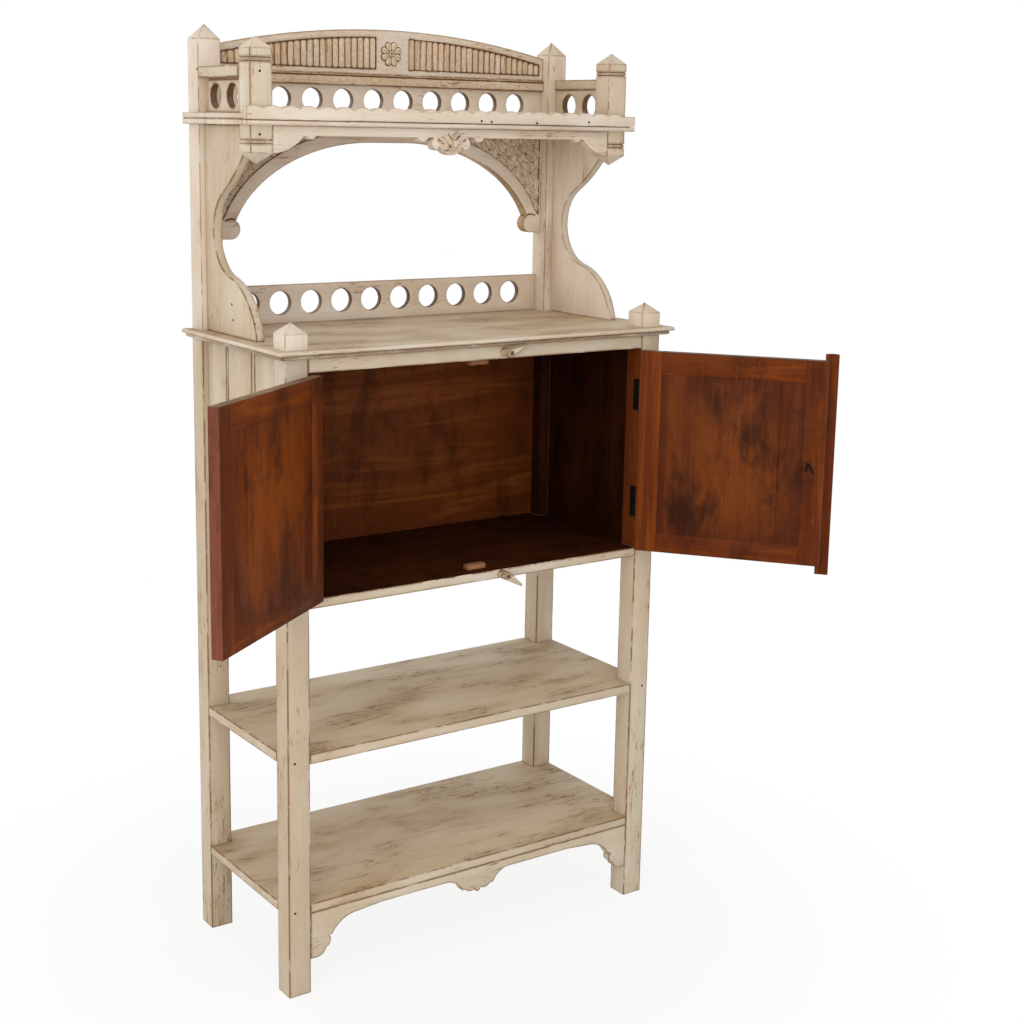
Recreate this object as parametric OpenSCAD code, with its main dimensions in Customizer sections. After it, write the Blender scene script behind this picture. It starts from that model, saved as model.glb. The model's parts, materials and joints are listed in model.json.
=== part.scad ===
// Tall painted sideboard: an open stand with two shelves, a two-door cabinet and a
// galleried hutch above it. X runs to the right along the front, -Y faces the viewer,
// +Z is up, and the origin is on the floor at the centre of the four posts.

/* [Overall] */
// Width over the four posts
body_w = 800; // [740:1:880]
// Depth over the four posts
body_d = 362; // [340:1:420]

/* [Heights between shelves] */
// Floor to the underside of the bottom shelf
foot_clear = 152.5; // [140:0.5:200]
// Clear height between the bottom and middle shelves
lower_bay = 261.1; // [200:0.1:340]
// Clear height between the middle shelf and the cabinet
upper_bay = 261.5; // [200:0.1:340]
// Clear height of the cabinet's door opening
door_bay = 390.7; // [340:0.1:460]
// Clear height of the hutch between the tabletop and the canopy
hutch_bay = 363.4; // [345:0.1:420]

/* [Posts] */
// Side of the square main posts
post_w = 43; // [38:0.5:48]
// Straight part of the front posts above the tabletop
front_finial_h = 26.7; // [10:0.1:60]
// Height of the front posts' pyramids
front_tip_h = 18; // [8:0.5:30]
// Straight part of the rear posts above the canopy
rear_finial_h = 127; // [122:0.5:180]
// Height of the rear posts' pyramids
rear_tip_h = 25.5; // [10:0.5:40]

/* [Shelves] */
// Thickness of the bottom shelf
bottom_shelf_t = 17; // [12:0.5:25]
// Thickness of the middle shelf
middle_shelf_t = 18.4; // [12:0.1:25]
// Thickness of the cabinet's floor
floor_t = 16.5; // [12:0.5:25]

/* [Apron under the bottom shelf] */
// Thickness of the apron board
apron_t = 18; // [10:0.5:25]
// Height of the apron where its lower edge is straight
apron_band_h = 16.5; // [10:0.5:24]
// Height of the apron's brackets at the posts
apron_bracket_h = 88; // [84:0.5:92]
// Radius of the bracket's hollow sweep
apron_sweep_r = 58.5; // [54:0.5:62]
// Distance of the sweep's centre from the post
apron_sweep_in = 95; // [90:1:105]
// Radius of the bracket's rounded toe
apron_toe_r = 18.5; // [16:0.5:20]
// Radius of the small bump above the toe
apron_bump_r = 14; // [12:0.5:16]
// Depth of the drop at the apron's middle
apron_drop_h = 50.5; // [46:0.5:54]
// Fall of the lower edge from the straight band to a bracket's sweep
sweep_sink = 4.5; // [3:0.5:6]
// Length over which it falls
sweep_run = 52; // [40:1:60]
// Distance of a bracket's toe from the post
toe_in = 13; // [11:0.5:15]
// Height of a bracket's bump over its toe
bump_up = 18; // [16:0.5:20]
// Half width of the middle drop with its sweeps
drop_half_w = 72; // [66:1:80]
// Height of the middle drop's sweeps
drop_sweep_h = 24; // [20:0.5:26]
// Radius of those sweeps
drop_sweep_r = 40; // [36:0.5:44]
// Distance of the drop's lobes from the middle
drop_lobe_x = 15; // [12:0.5:18]
// Radius of the lobes
drop_lobe_r = 18; // [16:0.5:20]
// Height of the lobes' centres over the drop's tip
drop_lobe_up = 22; // [20:0.5:24]
// Radius of the drop's tip
drop_tip_r = 6; // [5:0.5:8]

/* [Cabinet] */
// Thickness of the front rail over the doors
rail_t = 20; // [14:0.5:26]
// Height of the front rail
rail_h = 24.8; // [20:0.1:40]
// Thickness of the side boards
side_t = 12; // [8:0.5:16]
// Distance of the side boards and hutch panels behind the posts' outer faces
side_recess = 10; // [6:0.5:14]
// Width of the bead along a side board's edge
bead_w = 10.6; // [6:0.2:16]
// Width of the groove beside each bead
bead_groove_w = 1.6; // [1:0.1:3]
// Depth of that groove
bead_groove_d = 2.5; // [1:0.1:4]
// Width of the middle side board
middle_board_w = 99.5; // [80:0.5:120]
// Distance of the middle board's centre behind the posts' centre
board_shift = 1.75; // [-5:0.25:5]
// Thickness of the cabinet's back
back_t = 12; // [8:0.5:16]
// Distance of the cabinet's back ahead of the rear posts' rear faces
back_inset = 3; // [0:0.5:12]

/* [Tabletop] */
// Thickness of the tabletop inside its moulding
top_core_t = 7.5; // [5:0.5:12]
// Thickness of the overhanging upper layer
top_nose_t = 7.3; // [5:0.1:12]
// Overhang of the upper layer at the sides
top_over_side = 21; // [17:0.5:30]
// Overhang of the upper layer at the front
top_over_front = 22; // [17:0.5:30]
// Overhang of the bead moulding under it
moulding_over = 13.5; // [8:0.5:13.5]

/* [Hutch panels] */
// Thickness of the scrolled side panels
panel_t = 16; // [10:0.5:18]
// Depth of a side panel where it stands on the tabletop
panel_foot_d = 196; // [190:1:205]
// Height of the waist's centre above the tabletop
waist_up = 179.2; // [170:0.2:185]
// Radius of the hollow waist
waist_r = 79; // [74:0.5:84]
// Depth of a side panel at its waist
waist_d = 32; // [28:0.5:40]
// Distance of the foot lobe's centre ahead of the panel's rear edge
foot_lobe_in = 69; // [64:1:74]
// Depth of the foot lobe's centre below the tabletop
foot_lobe_down = 26; // [20:1:32]
// Distance of the head lobe's centre behind the panel's rear edge
head_lobe_out = 98; // [90:1:106]
// Height of the head lobe's centre above the canopy's underside
head_lobe_up = 174.3; // [165:0.1:185]

/* [Pierced rails] */
// Thickness of the pierced rail on the tabletop
low_rail_t = 12; // [8:0.5:16]
// Height of the pierced rail on the tabletop
low_rail_h = 72.2; // [62:0.2:90]
// Diameter of its holes
low_hole_d = 44; // [30:0.5:48]
// Height of its hole centres above the tabletop
low_hole_up = 38.7; // [32:0.1:40]
// Pitch of the holes along both rear rails
hole_pitch = 65; // [55:0.5:80]
// Thickness of the pierced rail on the canopy
high_rail_t = 12; // [8:0.5:16]
// Height of the pierced rail on the canopy
high_rail_h = 56.5; // [52:0.5:70]
// Diameter of its holes and of the side rails' holes
high_hole_d = 42; // [30:0.5:46]
// Height of the hole centres above the canopy
high_hole_up = 28.5; // [26:0.5:29]
// Distance of the upper pierced rail ahead of the rear posts' rear faces
high_rail_inset = 7; // [4:0.5:10]

/* [Arch board] */
// Thickness of the arch board
arch_t = 22; // [14:0.5:26]
// Distance of the arch board ahead of the rear posts' rear faces
arch_inset = 4; // [0:0.5:10]
// Height of the board over the arch's crown
arch_crown_h = 29.2; // [20:0.2:40]
// Half the flat length at the arch's crown
arch_flat = 40; // [30:1:60]
// Distance of the arch's springing from the posts
arch_spring_in = 22; // [16:1:22]
// Rise of the elliptical part of the arch
arch_rise = 200; // [180:1:210]
// Height of the arch board at the posts
arch_board_h = 204.2; // [198:0.2:212]
// Radius of the scroll ball at each end of the arch
ball_r = 18.5; // [14:0.5:20]
// Distance of the ball's centre from the post
ball_in = 24.5; // [24:0.5:30]

/* [Canopy] */
// Thickness of the canopy shelf
canopy_t = 19.8; // [14:0.2:20]
// Depth of the canopy shelf
canopy_d = 239.5; // [230:0.5:250]
// Overhang of the canopy beyond the posts
canopy_over = 11.3; // [8:0.1:14]
// Width and depth of the groove along the canopy's side edges
canopy_groove = 1.6; // [1:0.1:2.5]
// Thickness of the scalloped fringe strip
fringe_t = 14; // [8:0.5:18]
// Height of the fringe strip at its valleys
fringe_h = 18.5; // [14:0.5:24]
// Height of the bead strip under the fringe
fringe_bead_h = 8.3; // [6:0.1:9.5]
// Gap that reads as a groove between the two strips
fringe_gap = 1; // [0.5:0.1:2]
// Pitch of the scallops
scallop_pitch = 34.6; // [25:0.1:45]
// Radius of the scallops
scallop_r = 32; // [26:0.5:40]
// Straight length at the fringe's right end
scallop_flat = 30.7; // [20:0.1:40]

/* [Drop posts] */
// Side of the square drop posts
drop_post_w = 41.4; // [36:0.2:46]
// Distance of the drop posts inside the posts' outer faces
drop_post_in = 2.3; // [0:0.1:6]
// Straight part above the canopy
drop_post_up = 106.8; // [96:0.2:130]
// Pyramid at the top
drop_post_tip = 19.6; // [10:0.2:30]
// Straight part below the canopy
pendant_h = 46.4; // [46.4:0.2:60]
// Upside-down pyramid at the bottom
pendant_tip = 18.1; // [10:0.1:26]
// Height of the grooves cut round the drop posts
ring_w = 2.5; // [1:0.1:3.5]
// Depth of those grooves
ring_d = 1.5; // [0.5:0.1:3]
// Distance from a shoulder to the first groove
ring_in = 16; // [10:0.5:22]
// Pitch of the two grooves
ring_pitch = 6; // [5:0.5:8]

/* [Valance] */
// Thickness of the valance
valance_t = 16; // [10:0.5:20]
// Height of the valance where its lower edge is straight
valance_band_h = 17.2; // [12:0.2:22]
// Height of the valance at the drop posts
valance_bracket_h = 46.2; // [42:0.2:46.2]
// Radius of the bracket's curve
valance_sweep_r = 74.6; // [65:0.2:90]
// Distance of the small bump beyond the bracket from the drop post
valance_bump_in = 73.3; // [66:0.1:80]
// Radius of that bump
valance_bump_r = 10; // [8:0.5:12]
// Radius of the middle drop
valance_drop_r = 30; // [26:0.5:34]
// Radius of the drop's side lobes
lobe_r = 12; // [10:0.5:14]
// Depth of the inner lobes' centres below the band's edge
lobe_down = 9.5; // [8:0.5:11]
// Height of the outer lobes' centres above the band's edge
lobe_up = 4.5; // [3:0.5:6]
// Thickness of the carved leaf on the middle drop
leaf_t = 2.5; // [1.5:0.1:4]
// Radius of the leaf's root
leaf_root = 5; // [4:0.5:7]
// Number of petals on each side of the leaf's middle petal
leaf_side_petals = 3; // [2:1:3]
// Turn from petal to petal
leaf_turn = 24; // [20:1:26]
// Width of a petal
leaf_w = 7; // [5:0.5:8]
// Length of the middle petal
leaf_l = 26; // [22:0.5:28]
// Growth of the petals outwards
leaf_l_step = 1.5; // [0:0.5:2]

/* [Side galleries] */
// Thickness of the side gallery boards
gallery_t = 12; // [8:0.5:16]
// Distance of the side gallery boards inside the posts' outer faces
gallery_recess = 12; // [8:0.5:14]
// Height of the side gallery boards
gallery_h = 59.5; // [54:0.5:70]
// Pitch of the two holes in a side gallery
gallery_pitch = 65; // [55:0.5:75]
// Height of the cap rails
gallery_cap_h = 19; // [12:0.5:24]
// Width of the cap rails
gallery_cap_w = 27; // [20:0.5:32]

/* [Crest] */
// Height of the moulded strip under the crest
strip_h = 20; // [14:0.5:26]
// Depth of the moulded strip
strip_d = 20.5; // [18:0.5:26]
// Lip of the moulded strip in front of the crest
strip_lip = 3.5; // [1:0.5:4.5]
// Thickness of the crest board
crest_t = 16; // [10:0.5:16]
// Height of the crest at its middle
crest_h = 82.5; // [76:0.5:95]
// Radius of the crest's upper edge
crest_r = 1624; // [1500:1:2400]
// Radius of the rosette
rosette_r = 25.5; // [15:0.5:26]
// Thickness of the rosette
rosette_t = 5; // [3:0.5:8]
// Height of the rosette's centre above the moulded strip
rosette_up = 39; // [36:0.5:48]
// Distance of the rosette's centre to the right of the middle
rosette_x = 2.5; // [-6:0.5:6]
// Number of petals on the rosette
petals = 8; // [6:1:12]

/* [Doors] */
// Thickness of the door frames
door_t = 19.5; // [16:0.5:24]
// Distance that closed doors stand ahead of the posts
door_proud = 0.4; // [0.4:0.1:1.5]
// Clearance over a closed door
door_gap_top = 1.7; // [1:0.1:4]
// Clearance under a closed door
door_gap_bottom = 2; // [1:0.1:4]
// Clearance between the two closed doors
door_gap_middle = 3; // [1.5:0.1:5]
// Width of the stile at the hinges
hinge_stile_w = 42; // [34:0.5:55]
// Width of the stile at the meeting edge
lock_stile_w = 39.5; // [34:0.5:55]
// Height of the doors' top rails
door_top_rail_h = 42; // [30:0.5:55]
// Height of the doors' bottom rails
door_bottom_rail_h = 37; // [30:0.5:55]
// Thickness of the door panels
door_panel_t = 12; // [8:0.5:15]
// Angle that the left door stands open
left_open = 144; // [100:1:170]
// Angle that the right door stands open
right_open = 128; // [100:1:170]

/* [Cover strip and knob on the right door] */
// Width of the cover strip
astragal_w = 25.5; // [20:0.5:32]
// Thickness of the cover strip
astragal_t = 11; // [7:0.5:12]
// Length of the strip over the door's top
astragal_up = 11; // [4:0.5:20]
// Length of the strip below the door's bottom
astragal_down = 19.5; // [4:0.5:22]
// Clearance behind the strip where it covers the left door
astragal_relief = 0.4; // [0.3:0.1:1]
// Width of the strip's seat on the right door
astragal_seat = 9; // [7:0.5:11]
// Radius of the knob
knob_r = 12; // [8:0.5:13]
// Radius of the plate behind the knob
knob_plate_r = 9.6; // [7:0.2:12]
// Thickness of that plate
knob_plate_t = 2.5; // [1:0.5:4]
// Radius of the knob's neck
knob_neck_r = 4.8; // [3:0.2:6]
// Distance of the knob's centre in front of the door
knob_out = 21.6; // [18:0.2:26]
// Height of the knob's centre above the door's bottom
knob_up = 196; // [120:1:260]
// Distance of the knob's centre from the door's meeting edge
knob_in = 28.5; // [26:0.5:36]

/* [Hinges] */
// Length of a hinge
hinge_h = 60; // [45:1:80]
// Radius of the hinge's barrel
barrel_r = 3.9; // [3.4:0.1:5]
// Clearance between the barrel and the door's face
barrel_gap = 0.3; // [0.3:0.05:0.6]
// Radius of the hinge's pin
pin_r = 2; // [1.5:0.1:2.4]
// Running clearance round the pin
pin_clear = 0.05; // [0.02:0.01:0.09]
// Clearance between knuckles
knuckle_gap = 0.3; // [0.3:0.05:0.6]
// Thickness of a hinge leaf
leaf_plate_t = 1.2; // [0.8:0.1:2]
// Width of a hinge leaf
leaf_plate_w = 20; // [14:0.5:24]
// Gap between two closed leaves
leaf_plate_gap = 0.6; // [0.6:0.1:1.2]
// Distance of a hinge's centre from the door's nearer end
hinge_in = 89; // [60:1:110]

/* [Turn buttons and stops] */
// Radius of a button's round end
button_r = 8.2; // [7:0.1:9.4]
// Radius of a button's pointed end
button_tip_r = 2.5; // [1.5:0.1:4]
// Distance between the centres of a button's two ends
button_l = 36; // [28:0.5:40]
// Thickness of a button
button_t = 9; // [5:0.5:12]
// Thickness of the round spacer behind a button
spacer_t = 14; // [14:0.5:18]
// Radius of a button's screw
screw_r = 2; // [1.5:0.1:2.5]
// Radius of the screw's head
screw_head_r = 4; // [3.5:0.1:6]
// Thickness of the screw's head
screw_head_t = 2; // [1:0.1:3]
// Clearance in front of and behind a button
button_gap = 0.3; // [0.3:0.05:0.6]
// Distance of the top button's pivot to the right of the middle
top_button_x = 39; // [34:1:70]
// Angle of the top button's tail above the horizontal
top_button_rest = 20; // [0:1:24]
// Distance of the bottom button's pivot to the right of the middle
bottom_button_x = 41; // [34:1:70]
// Angle of the bottom button's tail above the horizontal
bottom_button_rest = -34.5; // [-60:0.5:0]
// Width of a door stop
stop_w = 41; // [30:0.5:60]
// Depth of a door stop
stop_d = 16; // [10:0.5:24]
// Clearance between a closed door and the stop on the floor
stop_clear = 0.9; // [0.3:0.1:2]
// Height of the stop on the cabinet's floor
bottom_stop_h = 10.5; // [8:0.5:20]
// Length of the top stop below the rail
top_stop_down = 12.2; // [8:0.1:20]

/* [Hidden] */

$fn = 96;
LEFT = -1;
RIGHT = 1;
// Length by which a cutting shape passes the face that it cuts
PASS = 1;
// Number of segments of a long shallow arc and of a very long one
LONG_ARC = 4 * $fn;
LONGEST_ARC = 8 * $fn;
// Steps of a drawn arc of a quarter turn
ARC_STEPS = 32;

CREAM = [0.87, 0.82, 0.73];
PALE_CREAM = [0.91, 0.87, 0.79];
BROWN = [0.33, 0.14, 0.07];
DARK_BROWN = [0.22, 0.09, 0.05];
LIGHT_BROWN = [0.62, 0.40, 0.27];
BLACK_IRON = [0.09, 0.08, 0.08];

// Faces of the stand
post_out = body_w / 2;
post_in = post_out - post_w;
front_y = -body_d / 2;
rear_y = body_d / 2;
post_back_y = front_y + post_w;
post_ahead_y = rear_y - post_w;
clear_w = 2 * post_in;
side_in = post_out - side_recess - side_t;

// Levels, from the floor up
bottom_shelf_top = foot_clear + bottom_shelf_t;
middle_shelf_z = bottom_shelf_top + lower_bay;
middle_shelf_top = middle_shelf_z + middle_shelf_t;
floor_z = middle_shelf_top + upper_bay;
floor_top = floor_z + floor_t;
rail_z = floor_top + door_bay;
core_z = rail_z + rail_h;
nose_z = core_z + top_core_t;
table_z = nose_z + top_nose_t;
canopy_z = table_z + hutch_bay;
canopy_top = canopy_z + canopy_t;
fringe_z = canopy_z + fringe_bead_h + fringe_gap;
strip_z = canopy_top + high_rail_h;
crest_z = strip_z + strip_h;

// Canopy and drop posts
canopy_out = post_out + canopy_over;
canopy_front_y = rear_y - canopy_d;
drop_out = post_out - drop_post_in;
drop_in = drop_out - drop_post_w;
drop_back_y = canopy_front_y + drop_post_w;
// Height of a scallop over its valleys
scallop_h = scallop_r - sqrt(scallop_r * scallop_r - scallop_pitch * scallop_pitch / 4);

// Upper pierced rail and crest
high_rail_back_y = rear_y - high_rail_inset;
crest_y = high_rail_back_y - strip_d + strip_lip;

// Doors and hinges, with the doors closed
hinge_gap = 2 * leaf_plate_t + leaf_plate_gap;
door_out = post_in - hinge_gap;
door_in = door_gap_middle / 2;
door_face_y = front_y - door_proud;
door_inner_y = door_face_y + door_t;
door_z = floor_top + door_gap_bottom;
door_top = rail_z - door_gap_top;
pin_x = post_in - hinge_gap / 2;
pin_y = door_face_y - barrel_gap - barrel_r;
hinge_levels = [door_z + hinge_in, door_top - hinge_in];
knuckle_h = (hinge_h - 2 * knuckle_gap) / 3;

// Turn buttons
top_button_z = rail_z + rail_h / 2;
bottom_button_z = floor_z + floor_t / 2;

// Shared shapes

// Places children, drawn for the right side, on the side asked for.
module on_side(side) {
    mirror([side == LEFT ? 1 : 0, 0, 0]) children();
}

// Extrudes an outline drawn in X and Z into a board whose front face is at y.
module front_board(y, t) {
    translate([0, y + t, 0]) rotate([90, 0, 0]) linear_extrude(t) children();
}

// Extrudes an outline drawn in Y and Z into a board whose inner face is at x.
module side_board(x, t) {
    translate([x, 0, 0]) rotate([90, 0, 90]) linear_extrude(t) children();
}

// Box between two corners.
module block(low, high) {
    translate(low) cube(high - low);
}

// Rectangle between two corners.
module panel_2d(low, high) {
    translate(low) square(high - low);
}

// Outline of a post seen from one side, with its tip and, if asked for, its lower tip.
module post_2d(w, z0, z1, tip, low_tip) {
    polygon(concat(
        [[w / 2, z0], [w / 2, z1], [0, z1 + tip], [-w / 2, z1], [-w / 2, z0]],
        low_tip > 0 ? [[0, z0 - low_tip]] : []));
}

// Square post centred on Z, with a pyramid at the top and, if asked for, at the bottom.
module pointed_post(w, z0, z1, tip, low_tip = 0) {
    intersection() {
        front_board(-w / 2, w) post_2d(w, z0, z1, tip, low_tip);
        side_board(-w / 2, w) post_2d(w, z0, z1, tip, low_tip);
    }
}

// Square columns where the four posts pass, for cutting shelves.
module post_columns() {
    for (side = [LEFT, RIGHT]) on_side(side) {
        block([post_in, front_y - PASS, 0], [post_out + PASS, post_back_y, canopy_top]);
        block([post_in, post_ahead_y, 0], [post_out + PASS, rear_y + PASS, canopy_top]);
    }
}

// Shelf flush with the posts' outer faces and notched round them.
module notched_shelf(z, t) {
    difference() {
        block([-post_out, front_y, z], [post_out, rear_y, z + t]);
        post_columns();
    }
}

// Row of circles along X or Y, centred on the axis.
module hole_row(count, pitch, d, z) {
    for (i = [0 : count - 1]) {
        translate([(i - (count - 1) / 2) * pitch, z]) circle(d = d);
    }
}

// Number of holes that fit a rear rail.
function rail_holes(d) = floor((clear_w - d) / hole_pitch);

// Posts

module front_post(side) {
    color(CREAM)
    translate([side * (post_out - post_w / 2), front_y + post_w / 2, 0])
    pointed_post(post_w, 0, table_z + front_finial_h, front_tip_h);
}

module rear_post(side) {
    color(CREAM)
    translate([side * (post_out - post_w / 2), rear_y - post_w / 2, 0])
    pointed_post(post_w, 0, canopy_top + rear_finial_h, rear_tip_h);
}

module front_left_post() { front_post(LEFT); }
module front_right_post() { front_post(RIGHT); }
module rear_left_post() { rear_post(LEFT); }
module rear_right_post() { rear_post(RIGHT); }

// Shelves and apron

module bottom_shelf() {
    color(PALE_CREAM) notched_shelf(foot_clear, bottom_shelf_t);
}

module middle_shelf() {
    color(PALE_CREAM) notched_shelf(middle_shelf_z, middle_shelf_t);
}

// Bracket at the apron's right end: a hollow sweep, a bump and a rounded toe.
module apron_bracket_2d() {
    band_z = foot_clear - apron_band_h;
    toe_z = foot_clear - apron_bracket_h + apron_toe_r;
    sweep_x = post_in - apron_sweep_in;
    sweep_z = band_z - apron_sweep_r - sweep_sink;
    bump_x = post_in - toe_in - apron_bump_r;
    difference() {
        polygon([[sweep_x - sweep_run, band_z], [sweep_x, band_z - sweep_sink],
            [sweep_x, toe_z + bump_up], [post_in, toe_z + bump_up], [post_in, band_z]]);
        translate([sweep_x, sweep_z]) circle(apron_sweep_r);
    }
    panel_2d([bump_x, toe_z], [post_in, toe_z + bump_up]);
    translate([bump_x, toe_z + bump_up / 2]) circle(apron_bump_r);
    translate([post_in - toe_in, toe_z]) circle(apron_toe_r);
    panel_2d([post_in - toe_in, toe_z - apron_toe_r], [post_in, toe_z]);
}

// Right half of the apron's middle drop: a hollow sweep, a lobe and a small tip.
module apron_drop_2d() {
    band_z = foot_clear - apron_band_h;
    tip_z = foot_clear - apron_drop_h;
    difference() {
        panel_2d([0, band_z - drop_sweep_h], [drop_half_w, band_z]);
        translate([drop_half_w, band_z - drop_sweep_r]) circle(drop_sweep_r);
    }
    translate([drop_lobe_x, tip_z + drop_lobe_up]) circle(drop_lobe_r);
    translate([0, tip_z + drop_tip_r]) circle(drop_tip_r);
}

module front_apron() {
    color(CREAM)
    front_board(front_y, apron_t)
    intersection() {
        panel_2d([-post_in, foot_clear - apron_bracket_h], [post_in, foot_clear]);
        union() {
            panel_2d([-post_in, foot_clear - apron_band_h], [post_in, foot_clear]);
            for (side = [0, 1]) mirror([side, 0]) {
                apron_bracket_2d();
                apron_drop_2d();
            }
        }
    }
}

// Cabinet

module cabinet_floor() {
    color(DARK_BROWN)
    difference() {
        block([-side_in, front_y, floor_z], [side_in, rear_y, floor_top]);
        post_columns();
    }
}

module front_top_rail() {
    color(CREAM)
    block([-post_in, front_y, rail_z], [post_in, front_y + rail_t, core_z]);
}

module cabinet_back() {
    color(BROWN)
    block([-post_in, rear_y - back_inset - back_t, floor_top],
        [post_in, rear_y - back_inset, core_z]);
}

// One side board from y0 to y1, with a groove that leaves a bead at one of its edges.
module beaded_board(y0, y1, bead_y) {
    x1 = side_in + side_t;
    difference() {
        block([side_in, y0, floor_z], [x1, y1, core_z]);
        block([x1 - bead_groove_d, bead_y - bead_groove_w / 2, floor_z - PASS],
            [x1 + PASS, bead_y + bead_groove_w / 2, core_z + PASS]);
    }
}

// Three boards between the posts of one side.
module side_boards(side) {
    joint_y = middle_board_w / 2 + board_shift;
    first_y = joint_y - middle_board_w;
    color(CREAM)
    on_side(side) {
        beaded_board(post_back_y, first_y, first_y - bead_groove_w);
        beaded_board(first_y, joint_y, first_y + bead_w);
        beaded_board(joint_y, post_ahead_y, joint_y + bead_w);
    }
}

module left_side_boards() { side_boards(LEFT); }
module right_side_boards() { side_boards(RIGHT); }

// Tabletop with its mouldings

// Layer of the tabletop with half-round side and front edges.
module nosed_layer(out, y0, y1, z0, t) {
    r = t / 2;
    block([-out + r, y0 + r, z0], [out - r, y1, z0 + t]);
    translate([0, y0 + r, z0 + r]) rotate([0, 90, 0]) cylinder(r = r, h = 2 * (out - r), center = true);
    for (side = [LEFT, RIGHT]) {
        translate([side * (out - r), y0 + r, z0 + r]) {
            rotate([-90, 0, 0]) cylinder(r = r, h = y1 - y0 - r);
            sphere(r);
        }
    }
}

module tabletop() {
    color(PALE_CREAM)
    difference() {
        union() {
            block([-post_out, front_y, core_z], [post_out, rear_y, nose_z + PASS]);
            nosed_layer(post_out + top_over_side, front_y - top_over_front, rear_y, nose_z, top_nose_t);
        }
        for (side = [LEFT, RIGHT]) on_side(side) {
            block([post_in, front_y, 0], [post_out, post_back_y, canopy_top]);
            block([post_in, post_ahead_y, 0], [post_out, rear_y + PASS, canopy_top]);
        }
    }
}

// Section of the bead moulding: a flat back at 0 and a half-round nose.
module moulding_2d() {
    r = top_core_t / 2;
    square([moulding_over - r, top_core_t]);
    translate([moulding_over - r, r]) circle(r);
}

// Region in front of the body, or beside it, that a mitred strip may fill.
module front_mitre_2d() {
    m = moulding_over + PASS;
    polygon([[-post_out, front_y], [post_out, front_y],
        [post_out + m, front_y - m], [-post_out - m, front_y - m]]);
}

module side_mitre_2d() {
    m = moulding_over + PASS;
    polygon([[post_out, front_y], [post_out, rear_y], [post_out + m, rear_y],
        [post_out + m, front_y - m]]);
}

module front_table_moulding() {
    color(CREAM)
    intersection() {
        translate([-post_out - moulding_over, front_y, core_z]) rotate([90, 0, 90])
            linear_extrude(body_w + 2 * moulding_over) mirror([1, 0]) moulding_2d();
        translate([0, 0, core_z]) linear_extrude(top_core_t) front_mitre_2d();
    }
}

module side_table_moulding(side) {
    color(CREAM)
    on_side(side)
    intersection() {
        front_board(front_y - moulding_over, body_d + moulding_over)
            translate([post_out, core_z]) moulding_2d();
        translate([0, 0, core_z]) linear_extrude(top_core_t) side_mitre_2d();
    }
}

module left_table_moulding() { side_table_moulding(LEFT); }
module right_table_moulding() { side_table_moulding(RIGHT); }

// Hutch

// Outline of a scrolled side panel in Y and Z: a foot lobe, a hollow waist and a head
// lobe, each tangent to the next.
module side_panel_2d() {
    foot = [post_ahead_y - foot_lobe_in, table_z - foot_lobe_down];
    waist = [post_ahead_y - waist_d - waist_r, table_z + waist_up];
    head = [post_ahead_y + head_lobe_out, canopy_z + head_lobe_up];
    foot_r = norm(waist - foot) - waist_r;
    head_r = norm(head - waist) - waist_r;
    foot_joint = waist + (foot - waist) * waist_r / norm(foot - waist);
    head_joint = waist + (head - waist) * waist_r / norm(head - waist);
    intersection() {
        translate(foot) circle(foot_r);
        panel_2d([post_ahead_y - panel_foot_d, table_z], [post_ahead_y, waist[1]]);
    }
    difference() {
        union() {
            panel_2d([foot_joint[0], table_z], [post_ahead_y, waist[1]]);
            panel_2d([head_joint[0], waist[1]], [post_ahead_y, canopy_z]);
        }
        translate(waist) circle(waist_r);
    }
    intersection() {
        translate(head) circle(head_r, $fn = LONG_ARC);
        panel_2d([drop_back_y, head_joint[1]], [post_ahead_y, canopy_z]);
    }
}

module side_panel(side) {
    color(CREAM)
    on_side(side) side_board(post_out - side_recess - panel_t, panel_t) side_panel_2d();
}

module left_side_panel() { side_panel(LEFT); }
module right_side_panel() { side_panel(RIGHT); }

module lower_gallery() {
    color(CREAM)
    front_board(rear_y - low_rail_t, low_rail_t)
    difference() {
        panel_2d([-post_in, table_z], [post_in, table_z + low_rail_h]);
        hole_row(rail_holes(low_hole_d), hole_pitch, low_hole_d, table_z + low_hole_up);
    }
}

// Right half of the arch's opening: a flat crown and a quarter of an ellipse.
module arch_opening_2d() {
    crown_z = canopy_z - arch_crown_h;
    rx = post_in - arch_spring_in - arch_flat;
    polygon(concat(
        [[-PASS, crown_z - arch_rise - arch_board_h], [-PASS, crown_z]],
        [for (i = [ARC_STEPS : -1 : 0]) [arch_flat + rx * cos(90 * i / ARC_STEPS),
            crown_z - arch_rise + arch_rise * sin(90 * i / ARC_STEPS)]],
        [[arch_flat + rx, crown_z - arch_rise - arch_board_h]]));
}

module rear_arch() {
    foot_z = canopy_z - arch_board_h;
    color(CREAM)
    front_board(rear_y - arch_inset - arch_t, arch_t)
    for (side = [0, 1]) mirror([side, 0]) {
        difference() {
            panel_2d([0, foot_z], [post_in, canopy_z]);
            arch_opening_2d();
        }
        translate([post_in - ball_in, foot_z]) {
            translate([0, ball_r]) circle(ball_r);
            square([ball_in, ball_r]);
        }
    }
}

// Canopy

module canopy() {
    groove_z = canopy_z + canopy_t / 2;
    color(CREAM)
    difference() {
        block([-canopy_out, canopy_front_y, canopy_z], [canopy_out, rear_y, canopy_top]);
        for (side = [LEFT, RIGHT]) on_side(side) {
            block([post_in, post_ahead_y, 0], [post_out, rear_y + PASS, canopy_top + PASS]);
            block([drop_in, canopy_front_y - PASS, 0], [drop_out, drop_back_y, canopy_top + PASS]);
            block([canopy_out - canopy_groove, canopy_front_y - PASS, groove_z - canopy_groove / 2],
                [canopy_out + PASS, rear_y + PASS, groove_z + canopy_groove / 2]);
        }
    }
}

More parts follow.
